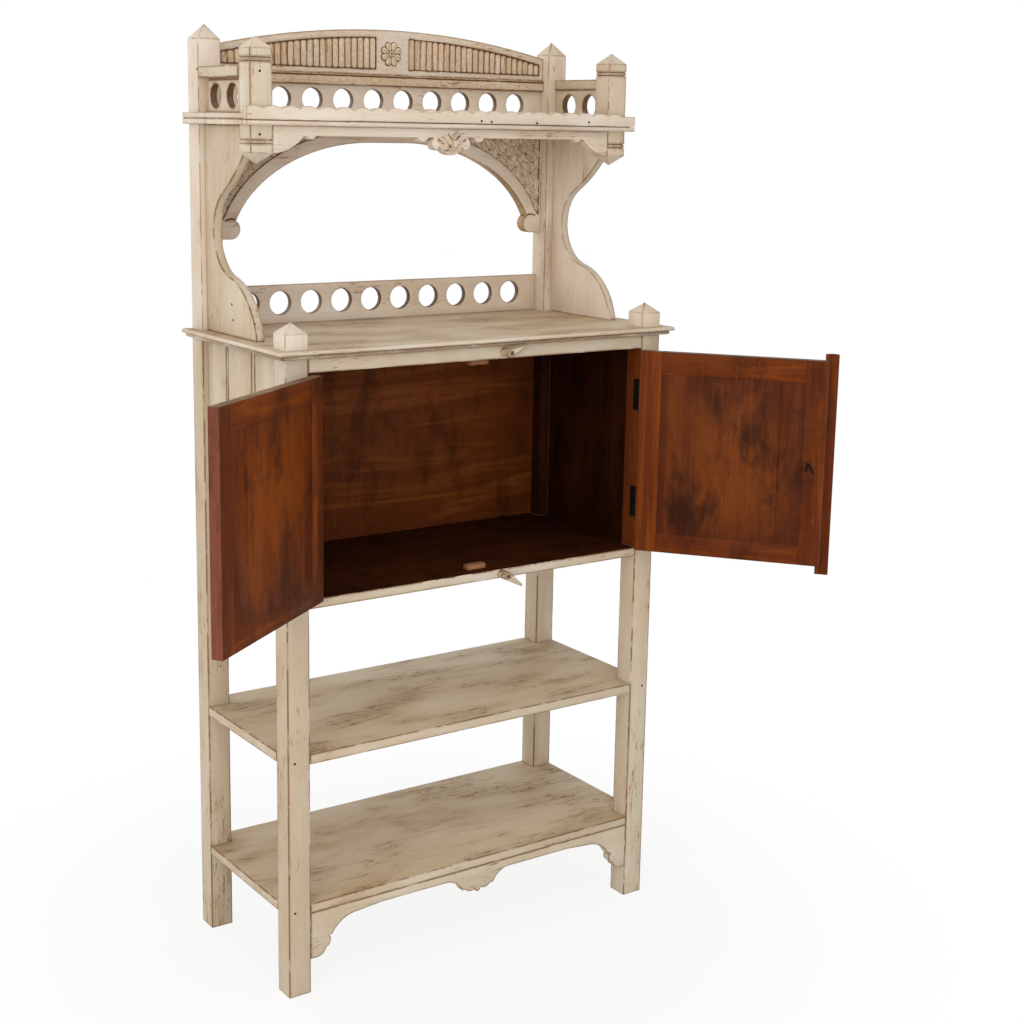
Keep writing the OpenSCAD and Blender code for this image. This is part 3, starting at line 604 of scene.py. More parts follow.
    def surface(
        self, colour: object, rough: object, height: Socket, depth: float, **constants: float
    ) -> Material:
        """Finishes the material with a shader.

        Args:
            colour: Base colour.
            rough: Roughness.
            height: Relief of the surface.
            depth: Depth of the relief in metres.
            constants: Shader values that are the same all over, with underscores for spaces.

        Returns:
            The finished material.
        """
        shader = self.node("ShaderNodeBsdfPrincipled")
        self.feed(shader.inputs["Base Color"], colour)
        self.feed(shader.inputs["Roughness"], rough)
        for name, value in constants.items():
            shader.inputs[name.replace("_", " ")].default_value = value
        bump = self.node("ShaderNodeBump")
        bump.inputs["Strength"].default_value = 1.0
        bump.inputs["Distance"].default_value = depth
        self.feed(bump.inputs["Height"], height)
        self.feed(shader.inputs["Normal"], bump.outputs["Normal"])
        output = self.node("ShaderNodeOutputMaterial")
        self.feed(output.inputs["Surface"], shader.outputs["BSDF"])
        return self.material


@dataclass(frozen=True)
class DistressedPaint:
    """Old cream paint, rubbed through to the wood along arrises and in flecks along the grain."""

    name: str
    base: Colour = (0.605, 0.515, 0.395)
    shade: Colour = (0.53, 0.42, 0.295)
    pale: Colour = (0.64, 0.575, 0.48)
    bare: Colour = (0.30, 0.155, 0.062)
    soil: Colour = (0.125, 0.060, 0.026)
    chalk: float = 0.5
    rub: float = 0.25
    flecks: float = 0.7
    edge: float = 0.95
    edge_reach: float = 5.0 * MM
    cuts: float = 0.0
    speckle: float = 0.0

    def material(self) -> Material:
        """Builds the paint's material.

        Returns:
            The material.
        """
        bench = Bench(self.name)
        grain = bench.attribute("grain")
        broad = bench.noise(grain, (2.2, 4.5, 4.5), 3.0)
        cloud = bench.noise(grain, (5.0, 13.0, 13.0), 4.0, 0.6)
        brush = bench.noise(grain, (7.0, 170.0, 170.0), 4.0, 0.7, 0.4)
        dash = bench.noise(grain, (42.0, 260.0, 260.0), 2.0, 0.6, 0.5)
        crumb = bench.noise(grain, (90.0, 420.0, 420.0), 4.0, 0.7, 0.3)
        run = bench.noise(grain, (16.0, 45.0, 45.0), 3.0, 0.6)
        colour = bench.mix(bench.window(broad, 0.36, 0.66), self.base, self.shade)
        colour = bench.mix(bench.times(bench.window(brush, 0.42, 0.68), 0.65), colour, self.shade)
        chalked = bench.times(bench.window(cloud, 0.34, 0.50, 1.0, 0.0), self.chalk)
        colour = bench.mix(chalked, colour, self.pale)
        colour, rubbed = self.rubbing(bench, colour, cloud, brush, dash)
        edge = bench.arris(self.edge_reach)
        fleck = self.fleck(bench, edge, cloud, dash, crumb)
        line, worn = self.wear(bench, edge, run, crumb, cloud)
        dirt = bench.mix(bench.window(run, 0.38, 0.64, 0.0, 0.7), self.soil, self.bare)
        colour = bench.mix(worn, colour, self.bare)
        if self.speckle:
            spots = bench.noise(grain, (150.0, 260.0, 260.0), 4.0, 0.7, 0.6)
            colour = bench.mix(bench.window(spots, 0.46, 0.66, 0.0, self.speckle), colour, self.bare)
            colour = bench.mix(bench.window(spots, 0.28, 0.40, 0.5 * self.speckle, 0.0), colour, self.pale)
        if self.cuts:
            line = bench.most(line, self.curly_lines(bench))
        colour = bench.mix(bench.most(fleck, line), colour, dirt)
        relief = bench.plus(bench.times(brush, 0.6), bench.times(cloud, 0.3))
        lost = bench.plus(bench.plus(fleck, worn), bench.plus(line, rubbed))
        relief = bench.less(relief, bench.times(lost, 0.35))
        rough = bench.window(cloud, 0.3, 0.7, 0.50, 0.66)
        return bench.surface(colour, rough, relief, 0.5 * MM, Specular_IOR_Level=0.35)

    def curly_lines(self, bench: Bench) -> Socket:
        """Draws fine curly dark lines in the paint, like those between small carved leaves.

        Args:
            bench: The material's bench.

        Returns:
            Where the lines are.
        """
        cell = 1 / self.cuts
        grain = bench.attribute("grain")
        bent = bench.node("ShaderNodeTexNoise")
        bench.feed(bent.inputs["Vector"], bench.stretch(grain, (0.9 * cell,) * 3))
        bench.feed(bent.inputs["Scale"], 1.0)
        reach = (2.2 * self.cuts,) * 3
        swirl = bench.vectors("MULTIPLY_ADD", bent.outputs["Color"], reach, grain)["Vector"]
        cells = bench.node("ShaderNodeTexVoronoi", feature="DISTANCE_TO_EDGE")
        bench.feed(cells.inputs["Vector"], bench.stretch(swirl, (cell,) * 3))
        bench.feed(cells.inputs["Scale"], 1.0)
        return bench.window(cells.outputs["Distance"], 0.02, 0.09, 0.9, 0.0)

    def rubbing(
        self, bench: Bench, colour: Socket, cloud: Socket, brush: Socket, dash: Socket
    ) -> tuple[Socket, Socket]:
        """Rubs the paint thin in soft patches, with fine streaks of wood in them.

        Args:
            bench: The material's bench.
            colour: Colour before.
            cloud: Noise that places the patches.
            brush: Noise of the long streaks.
            dash: Noise of the short streaks.

        Returns:
            The colour after, and how far the paint is rubbed.
        """
        patch = bench.window(cloud, 0.58 - 0.16 * self.rub, 0.74 - 0.12 * self.rub)
        veil = bench.times(patch, bench.window(brush, 0.32, 0.70, 0.10, 0.60 * min(1.0, 0.4 + self.rub)))
        colour = bench.mix(veil, colour, self.bare)
        streaks = bench.window(bench.plus(dash, bench.times(brush, 0.8)), 0.96, 1.08)
        strength = bench.times(bench.times(streaks, patch), min(1.0, 0.35 + self.rub))
        return bench.mix(strength, colour, self.bare), strength

    def fleck(self, bench: Bench, edge: Socket, cloud: Socket, dash: Socket, crumb: Socket) -> Socket:
        """Places small dark chips along the grain, in clusters and near the arrises.

        Args:
            bench: The material's bench.
            edge: How near an arris is.
            cloud: Noise that places the clusters.
            dash: Noise of the chips.
            crumb: Noise that frays them.

        Returns:
            Where the paint has chipped.
        """
        place = bench.most(bench.window(cloud, 0.47, 0.60), bench.window(edge, 0.0, 0.006, 0.0, 0.9))
        chip = bench.window(bench.plus(dash, bench.times(crumb, 0.35)), 0.80, 0.84)
        return bench.times(bench.times(chip, place), self.flecks)

    def wear(
        self, bench: Bench, edge: Socket, run: Socket, crumb: Socket, cloud: Socket
    ) -> tuple[Socket, Socket]:
        """Wears the arrises: a thin broken dark line on them, and ragged bare wood beside it.

        Args:
            bench: The material's bench.
            edge: How near an arris is.
            run: Noise that breaks the line.
            crumb: Noise that frays it.
            cloud: Noise that varies the wear.

        Returns:
            The dark line, and the bare wood.
        """
        on_arris = bench.attribute("arris", "Fac")
        fray = bench.times(edge, bench.plus(crumb, 0.5))
        near = bench.most(on_arris, bench.window(fray, 0.003, 0.016))
        broken = bench.window(bench.plus(run, bench.times(crumb, 0.5)), 0.63, 0.75)
        line = bench.times(bench.times(near, broken), self.edge)
        spread = bench.times(edge, bench.plus(crumb, run))
        ragged = bench.window(spread, 0.0015, 0.010)
        taken = bench.times(bench.window(cloud, 0.44, 0.62), bench.most(ragged, on_arris))
        return line, bench.times(taken, 0.85 * self.edge)


@dataclass(frozen=True)
class StainedWood:
    """Red-brown stained wood, blotched dark and rubbed to orange in the middle of a door."""

    name: str
    base: Colour = (0.088, 0.0162, 0.0024)
    pale: Colour = (0.265, 0.059, 0.0027)
    dark: Colour = (0.026, 0.0062, 0.0025)
    figure: float = 0.35
    glow: float = 0.80
    blotches: float = 0.75
    shine: float = 0.50

    def material(self) -> Material:
        """Builds the stained wood's material.

        Returns:
            The material.
        """
        bench = Bench(self.name)
        grain, place = bench.attribute("grain"), bench.attribute("place")
        band = bench.noise(grain, (1.8, 26.0, 26.0), 4.0, 0.6, 1.2)
        streak = bench.noise(grain, (6.0, 120.0, 120.0), 4.0, 0.65, 0.5)
        pores = bench.noise(grain, (35.0, 420.0, 420.0), 3.0, 0.65)
        cloud = bench.noise(place, (9.0, 9.0, 4.5), 5.0, 0.62, 0.6)
        stain = bench.noise(place, (15.0, 15.0, 7.0), 6.0, 0.68, 0.25)
        scratch = bench.noise(place, (260.0, 260.0, 24.0), 3.0, 0.6, 0.8)
        colour = bench.mix(bench.times(bench.window(band, 0.45, 0.70), self.figure), self.base, self.pale)
        rubbed = bench.times(self.middle(bench, cloud), bench.window(streak, 0.25, 0.70, 0.35, 1.0))
        colour = bench.mix(bench.times(rubbed, self.glow), colour, self.pale)
        scored = bench.times(bench.window(scratch, 0.60, 0.68), bench.window(cloud, 0.45, 0.60))
        colour = bench.mix(bench.times(scored, 0.55), colour, self.pale)
        blotch = bench.times(bench.window(stain, 0.45, 0.68), self.blotches)
        colour = bench.mix(blotch, colour, self.dark)
        colour = bench.mix(bench.times(bench.window(streak, 0.50, 0.74), 0.45), colour, self.dark)
        pore = bench.window(pores, 0.62, 0.72)
        colour = bench.mix(bench.times(pore, 0.55), colour, self.dark)
        edge = bench.window(bench.plus(bench.attribute("arris", "Fac"), bench.arris(2.0 * MM)), 0.05, 0.9)
        colour = bench.mix(bench.times(edge, bench.window(stain, 0.35, 0.65, 0.15, 0.7)), colour, self.dark)
        relief = bench.less(bench.times(streak, 0.6), bench.times(pore, 0.5))
        rough = bench.window(cloud, 0.3, 0.7, self.shine, self.shine + 0.16)
        return bench.surface(colour, rough, relief, 0.3 * MM, Specular_IOR_Level=0.09)

    def middle(self, bench: Bench, cloud: Socket) -> Socket:
        """Finds the middle of a door or board, with a ragged rim.

        Args:
            bench: The material's bench.
            cloud: Noise that frays the rim.

        Returns:
            1 in the middle, falling to 0 towards the edges.
        """
        flat = bench.vectors("MULTIPLY", bench.attribute("spot"), (1.0, 0.0, 0.85))["Vector"]
        frayed = bench.plus(bench.vectors("LENGTH", flat)["Value"], bench.times(cloud, 1.6))
        return bench.window(frayed, 0.95, 1.75, 1.0, 0.0)


@dataclass(frozen=True)
class BlackIron:
    """Blackened iron with brown rust on it."""

    name: str = "black_iron"
    black: Colour = (0.006, 0.005, 0.0045)
    rust: Colour = (0.030, 0.012, 0.006)

    def material(self) -> Material:
        """Builds the iron's material.

        Returns:
            The material.
        """
        bench = Bench(self.name)
        coords = bench.node("ShaderNodeTexCoord").outputs["Object"]
        spots = bench.noise(coords, (160.0, 160.0, 160.0), 4.0, 0.6)
        grit = bench.noise(coords, (900.0, 900.0, 900.0), 3.0, 0.6)
        colour = bench.mix(bench.window(spots, 0.5, 0.7), self.black, self.rust)
        rough = bench.window(spots, 0.3, 0.7, 0.45, 0.8)
        return bench.surface(colour, rough, grit, 0.2 * MM, Specular_IOR_Level=0.08)


@dataclass(frozen=True)
class Finishes:
    """Every finish of the sideboard.

    The paints differ in how far they are rubbed, soiled and chipped, and the stains by the board's place.
    Some carry painted light and shade: the upper, carved-ground and carved paints are brightened with
    painted light against the canopy's shade, and the frame stain and raw wood are lightened with painted
    light; the rubbed top paint, the inside and right-door stains and the groove paint hold painted shade.
    """

    paint: Material
    top_paint_rubbed_and_shaded: Material
    upper_paint_with_painted_light: Material
    tip_paint: Material
    speckled_paint: Material
    ground_paint: Material
    soffit_paint: Material
    carved_paint_with_painted_light: Material
    worn_paint: Material
    hole_paint: Material
    groove_dirt_and_painted_shade: Material
    door_stain: Material
    frame_stain_painted_light: Material
    door_stain_painted_shade: Material
    edge_stain: Material
    inside_stain_painted_shade: Material
    back_stain: Material
    floor_stain: Material
    raw_wood: Material
    iron: Material
    rust: Material

    @staticmethod
    def mixed() -> "Finishes":
        """Mixes every finish by its recipe."""
        return Finishes(**{use: recipe.material() for use, recipe in RECIPES.items()})


RECIPES: dict[str, DistressedPaint | StainedWood | BlackIron] = {
    "paint": DistressedPaint("cream_paint"),
    # Rubbed and darker than the plain cream: real rubbing, and painted shade on the upward faces.
    "top_paint_rubbed_and_shaded": DistressedPaint(
        "rubbed_cream_paint",
        base=(0.57, 0.46, 0.32), shade=(0.47, 0.35, 0.215), pale=(0.58, 0.495, 0.365),
        bare=(0.24, 0.14, 0.062), chalk=0.4, rub=0.75, flecks=0.85,
    ),
    # Brighter than the plain cream paint: painted light set against the canopy's shade, used on every upper
    # part.
    "upper_paint_with_painted_light": DistressedPaint(
        "upper_cream_paint",
        base=(0.70, 0.60, 0.50), shade=(0.62, 0.51, 0.395), pale=(0.72, 0.655, 0.585),
        flecks=0.5, edge=0.6, edge_reach=2.6 * MM,
    ),
    "tip_paint": DistressedPaint(
        "pyramid_cream_paint",
        base=(0.64, 0.545, 0.435), shade=(0.57, 0.455, 0.335), pale=(0.67, 0.60, 0.52),
        edge=0.3, edge_reach=2.0 * MM,
    ),
    "speckled_paint": DistressedPaint(
        "speckled_cream_paint",
        base=(0.65, 0.555, 0.455), shade=(0.58, 0.475, 0.36), pale=(0.68, 0.61, 0.54),
        bare=(0.38, 0.22, 0.10), speckle=0.35,
    ),
    # Brightened: painted light that offsets the canopy's shade on the spandrels' carved ground.
    "ground_paint": DistressedPaint(
        "carved_ground_paint",
        base=(0.72, 0.60, 0.44), shade=(0.64, 0.51, 0.35), pale=(0.74, 0.65, 0.51),
        flecks=0.5, edge=0.3, cuts=15.0 * MM,
    ),
    "soffit_paint": DistressedPaint(
        "rubbed_edge_paint",
        base=(0.50, 0.32, 0.14), shade=(0.30, 0.155, 0.055), pale=(0.64, 0.48, 0.30),
        bare=(0.12, 0.05, 0.018), rub=0.8,
    ),
    # Brightened: painted light that offsets the shade under the canopy on the carvings.
    "carved_paint_with_painted_light": DistressedPaint(
        "carved_cream_paint",
        base=(0.70, 0.585, 0.44), shade=(0.62, 0.50, 0.36), pale=(0.74, 0.66, 0.54),
        flecks=0.5, edge=0.3, edge_reach=2.0 * MM,
    ),
    "worn_paint": DistressedPaint(
        "worn_cream_paint",
        base=(0.625, 0.51, 0.385), shade=(0.54, 0.42, 0.295), pale=(0.67, 0.595, 0.50),
        bare=(0.40, 0.21, 0.080), rub=0.4, flecks=0.8, speckle=0.65, edge_reach=3.0 * MM,
    ),
    "hole_paint": DistressedPaint(
        "hole_paint",
        base=(0.20, 0.115, 0.055), shade=(0.11, 0.055, 0.025), pale=(0.34, 0.24, 0.145),
        bare=(0.08, 0.038, 0.016), rub=1.0,
    ),
    # Dark paint for grooves, joints and carved walls: real dirt and dark joints, and painted shade in
    # recesses.
    "groove_dirt_and_painted_shade": DistressedPaint(
        "groove_paint",
        base=(0.20, 0.105, 0.042), shade=(0.10, 0.046, 0.020), pale=(0.27, 0.16, 0.08),
        bare=(0.07, 0.03, 0.014), rub=0.8,
    ),
    "door_stain": StainedWood("stained_wood"),
    # Lighter than the door stain: painted light that lifts the shade on the door frames.
    "frame_stain_painted_light": StainedWood(
        "stained_frame_wood",
        base=(0.112, 0.0215, 0.0030), pale=(0.29, 0.066, 0.0040),
        figure=0.6, glow=0.6, blotches=0.6,
    ),
    # The right door's stain: the same wood, darkened with painted shade.
    "door_stain_painted_shade": StainedWood(
        "stained_dark_door_wood",
        base=(0.070, 0.0142, 0.0034), pale=(0.215, 0.050, 0.0052), dark=(0.022, 0.0055, 0.0026),
        blotches=0.85,
    ),
    "edge_stain": StainedWood(
        "stained_edge_wood",
        base=(0.18, 0.055, 0.032), pale=(0.32, 0.135, 0.085), dark=(0.04, 0.012, 0.008),
        glow=0.0, figure=0.5, blotches=1.0,
    ),
    # Near black: the stain darkened with painted shade, for faces deep inside the cabinet.
    "inside_stain_painted_shade": StainedWood(
        "stained_side_wood",
        base=(0.030, 0.0066, 0.0012), pale=(0.066, 0.015, 0.002), dark=(0.006, 0.0015, 0.0008),
        glow=0.0, figure=0.5,
    ),
    "back_stain": StainedWood(
        "stained_back_wood",
        base=(0.140, 0.0315, 0.0064), pale=(0.29, 0.080, 0.014), dark=(0.020, 0.005, 0.0018),
        glow=0.2, figure=0.7, blotches=0.55,
    ),
    "floor_stain": StainedWood(
        "dark_wood",
        base=(0.040, 0.0095, 0.0025), pale=(0.085, 0.024, 0.006), dark=(0.010, 0.0025, 0.001),
        glow=0.3, shine=0.42,
    ),
    # Lightened raw wood: painted light for the stops, which sit in shade inside the cabinet.
    "raw_wood": StainedWood(
        "raw_wood",
        base=(0.32, 0.135, 0.065), pale=(0.52, 0.28, 0.16), dark=(0.06, 0.022, 0.009),
        glow=0.5, blotches=0.5, shine=0.6,
    ),
    "iron": BlackIron(),
    "rust": BlackIron("rusty_iron", black=(0.15, 0.095, 0.065), rust=(0.28, 0.16, 0.09)),
}


# Carving


def relief(name: str, across: int, up: int, rule: Callable[[float, float], Point], back: float) -> Piece:
    """Models a carved relief: a grid shaped by a rule, closed by sides and a flat back.

    Args:
        name: Name of the piece.
        across: Faces across the relief.
        up: Faces along the relief.
        rule: Rule from a place across (-1 to 1) and along (0 to 1) to a point of the front.
        back: Depth of the flat back along Y.

    Returns:
        The closed relief.
    """
    release()
    bpy.ops.mesh.primitive_grid_add(x_subdivisions=across, y_subdivisions=up, size=2, location=(0, 0, 0))
    piece = named(name)
    reshape(piece, lambda co: rule(co.x, (co.y + 1) / 2))
    with editing(piece):
        bpy.ops.mesh.extrude_region_move(TRANSFORM_OT_translate={"value": (0, MM, 0)})
    for vertex in piece.data.vertices:
        if vertex.select:
            vertex.co.y = back
    face_outwards(piece)
    bpy.ops.object.shade_smooth_by_angle(angle=CARVING_SMOOTH_ANGLE)
    return piece


def leaf(
    name: str, length: float, width: float, height: float, fold: float = 0.5, bend: float = 0.0
) -> Piece:
    """Carves a pointed leaf that rises from a flat ground, with a groove along its middle.

    Args:
        name: Name of the leaf.
        length: Length from root to tip in metres.
        width: Widest place.
        height: Height of its crown over the ground.
        fold: Depth of the middle groove, as a share of the height.
        bend: How far its tip bends to the right in metres.

    Returns:
        The leaf, pointing up from the origin with its ground at Y 0.
    """

    def rule(u: float, v: float) -> Point:
        """Gives the leaf's front: a rounded outline, a crown that falls to both ends, and ribs.

        Args:
            u: Place across, from -1 to 1.
            v: Place along, from 0 to 1.

        Returns:
            The point.
        """
        half = width / 2 * max(0.05, math.sin(math.pi * min(1.0, v**0.8)) ** 0.85)
        crown = math.sqrt(max(0.0, 1 - u * u)) ** 0.8
        end = min(1.0, 6 * v, 4 * (1 - v)) ** 0.7 if 0 < v < 1 else 0.0
        groove = fold * math.exp(-((u / 0.16) ** 2)) * math.sin(math.pi * v)
        ribs = 0.10 * math.sin(9 * math.pi * v - 5 * abs(u)) * abs(u) * (1 - abs(u))
        return (u * half + bend * v * v, -height * max(0.04, crown * end * (1 - groove) + ribs), v * length)

    return relief(name, 8, 10, rule, 1.5 * MM)


def bead(name: str, bottom: float, top: float, half: float, height: float) -> Piece:
    """Carves one upright reed: a flat round back with scalloped ends.

    Args:
        name: Name of the reed.
        bottom: Height of its lower end in metres.
        top: Height of its upper end.
        half: Half its width.
        height: Height of its crown over the ground.

    Returns:
        The reed, centred on X 0 with its ground at Y 0.
    """
    stops = (0.0, 0.12, 0.3, 0.6, 1.0)
    rows = 2 * len(stops) - 1

    def rule(u: float, v: float) -> Point:
        """Gives the reed's front, with its rows drawn together at both round ends.

        Args:
            u: Place across, from -1 to 1.
            v: Place along, from 0 to 1.

        Returns:
            The point.
        """
        row = round(v * rows)
        share = stops[min(row, rows - row)]
        end = math.sqrt(1 - (1 - share) ** 2)
        along = 0.4 * half * share
        scallop = 0.45 * half * u * u * (1 - share)
        z = bottom + along + scallop if row < len(stops) else top - along - scallop
        crown = math.sqrt(max(0.0, 1 - abs(u) ** 3))
        return (u * half, -height * max(0.06, crown * (0.25 + 0.75 * end)), z)

    return relief(name, 8, rows, rule, 1.0 * MM)


def upright(x: float, y: float, z: float, turn: float, scale: float = 1.0, flip: bool = False) -> Matrix:
    """Places a carving on the front.

    Args:
        x: Place across in metres.
        y: Depth of the ground.
        z: Height.
        turn: Turn to the right in degrees, seen from the front.
        scale: Size.
        flip: Whether the carving and its place are mirrored to the other side.

    Returns:
        The transform.
    """
    spin = Matrix.Rotation(math.radians(turn), 4, "Y")
    place = Matrix.Translation((x, y, z)) @ spin @ Matrix.Scale(scale, 4)
    return MIRROR @ place if flip else place


# Tests that choose faces


RAIL_HOLES_X = 350 * MM
RAIL_HOLES_Z = ((1170 * MM, 1222 * MM), (1545 * MM, 1593 * MM))


def looks_up(normal: Vector, centre: Vector) -> bool:
    """Tells a face that looks up."""
    return normal.z > 0.9


def slopes(normal: Vector, centre: Vector) -> bool:
    """Tells a sloping face of a post's pyramid or pendant."""
    return 0.2 < abs(normal.z) < 0.95


def in_rail_hole(normal: Vector, centre: Vector) -> bool:
    """Tells a wall of the round holes in the pierced rails of the tabletop and the canopy."""
    level = any(low < centre.z < high for low, high in RAIL_HOLES_Z)
    return level and abs(normal.y) < 0.5 and abs(centre.x) < RAIL_HOLES_X


# Sub-assemblies


@dataclass
class Assembly:
    """A sub-assembly, with its finishes and a count for the boards' figure."""

    finishes: Finishes
    seed: int
    pieces: list[Piece] = field(default_factory=list)

    def next_seed(self) -> int:
        """Gives the next board's seed."""
        self.seed += 1
        return self.seed

    def report(self, piece: Piece) -> None:
        """Counts a finished piece and reports it."""
        self.pieces.append(piece)
        log.info("%s: %d faces", piece.name, len(piece.data.polygons))

    def keep(self, piece: Piece, node: str) -> None:
        """Lets a finished piece stand for a CAD node and reports it."""
        stand_for(piece, node)
        self.report(piece)

    def dress(
        self,
        node: str,
        finish: Material,
        along: Axis,
        *patches: tuple[Material, FaceTest],
        width: float = 0.9 * MM,
        segments: int = 2,
        piece: Piece | None = None,
        unturn: Matrix = IDENTITY,
        extent: tuple[Point, Point] | None = None,
    ) -> None:
        """Rounds a board's arrises, lays its grain and coats it.

        Args:
            node: Name of the board's CAD node.
            finish: Its finish.
            along: Way that its grain runs.
            patches: Other finishes with the tests for their faces.
            width: Width of the rounding, or 0 for sharp arrises.
            segments: Segments over the rounding.
            piece: The board, if it has been worked on already.
            unturn: Transform that turns the board square to the sideboard.
            extent: Corners of the assembly that the board's colour goes over.
        """
        piece = piece or copy_of(node)
        if width:
            soften(piece, width, segments)
        lay_grain(piece, along, self.next_seed(), unturn, extent)
        coat(piece, finish, *patches)
        self.keep(piece, node)

    def coat_carving(
        self, carving: Piece, finish: Material, face: float, height: float, dirt_and_shade: float = 0.3
    ) -> None:
        """Coats a carving on the front, darkened with dirt and painted shade where it meets its ground.

        Args:
            carving: The carving.
            finish: Its finish.
            face: Depth of its ground.
            height: Its height over the ground.
            dirt_and_shade: Share of the height that is darkened with dirt and painted shade.
        """
        lay_grain(carving, Axis.UP, self.next_seed())
        # Faces near the ground are darkened: dirt, and painted shade where the carving meets its ground.
        root = face - dirt_and_shade * height
        coat(carving, finish, (self.finishes.groove_dirt_and_painted_shade, lambda normal, centre: centre.y > root))

    def ride_along(self, piece: Piece, finish: Material, body: str) -> None:
        """Finishes a small iron piece that stands for no node.

        Args:
            piece: The piece.
            finish: Its finish.
            body: Body that carries it.
        """
        lay_grain(piece, Axis.WIDE, self.next_seed())
        coat(piece, finish)
        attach(piece, body)
        self.report(piece)


@dataclass
class Stand(Assembly):
    """Four posts, two shelves and the apron."""

    inside_low: float = 727 * MM
    inside_high: float = 1142.5 * MM
    lining: float = 378 * MM
    post_in: float = 357 * MM
    arris: float = 1.5 * MM

    def build(self) -> None:
        """Builds the posts, shelves and apron."""
        for depth in ("front", "rear"):
            for side in Side:
                self.post(depth, side)
        # Shelf tops take the rubbed paint, which also holds painted shade.
        on_top = (self.finishes.top_paint_rubbed_and_shaded, looks_up)
        for node in ("bottom_shelf", "middle_shelf"):
            self.dress(node, self.finishes.paint, Axis.WIDE, on_top, width=1.1 * MM)
        self.dress("front_apron", self.finishes.paint, Axis.WIDE, width=0.7 * MM)

    def post(self, depth: str, side: Side) -> None:
        """Builds one post, stained where it stands inside the cabinet, with painted shade on the rear posts.

        Args:
            depth: The word front or rear.
            side: Side of the post.
        """
        node = f"{depth}_{side.word()}_post"
        piece = copy_of(node)
        for level in (self.inside_low, self.inside_high):
            split(piece, (0, 0, level), (0, 0, 1))
        split(piece, (side.value * self.lining, 0, 0), (1, 0, 0))
        low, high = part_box(node)
        outer_y, inner_y = (low[1], high[1]) if depth == "front" else (high[1], low[1])

        def inside(normal: Vector, centre: Vector) -> bool:
            """Tells a face that shows inside the cabinet.

            Args:
                normal: The face's normal.
                centre: The face's centre.

            Returns:
                Whether it shows there.
            """
            level = self.inside_low < centre.z < self.inside_high
            by_side = abs(centre.x) < self.post_in + self.arris and abs(centre.y - outer_y) > self.arris
            by_depth = abs(centre.y - inner_y) < self.arris and abs(centre.x) < self.lining
            return level and (by_side or by_depth)

        # Rear posts take the inside stain, darkened with painted shade.
        stain = self.finishes.back_stain if depth == "front" else self.finishes.inside_stain_painted_shade
        self.dress(
            node,
            self.finishes.paint,
            Axis.UP,
            # Above the tabletop the post takes the upper paint, brightened with painted light.
            (self.finishes.upper_paint_with_painted_light, lambda normal, centre: centre.z > self.inside_high),
            (self.finishes.tip_paint, slopes),
            (stain, inside),
            width=self.arris,
            piece=piece,
        )


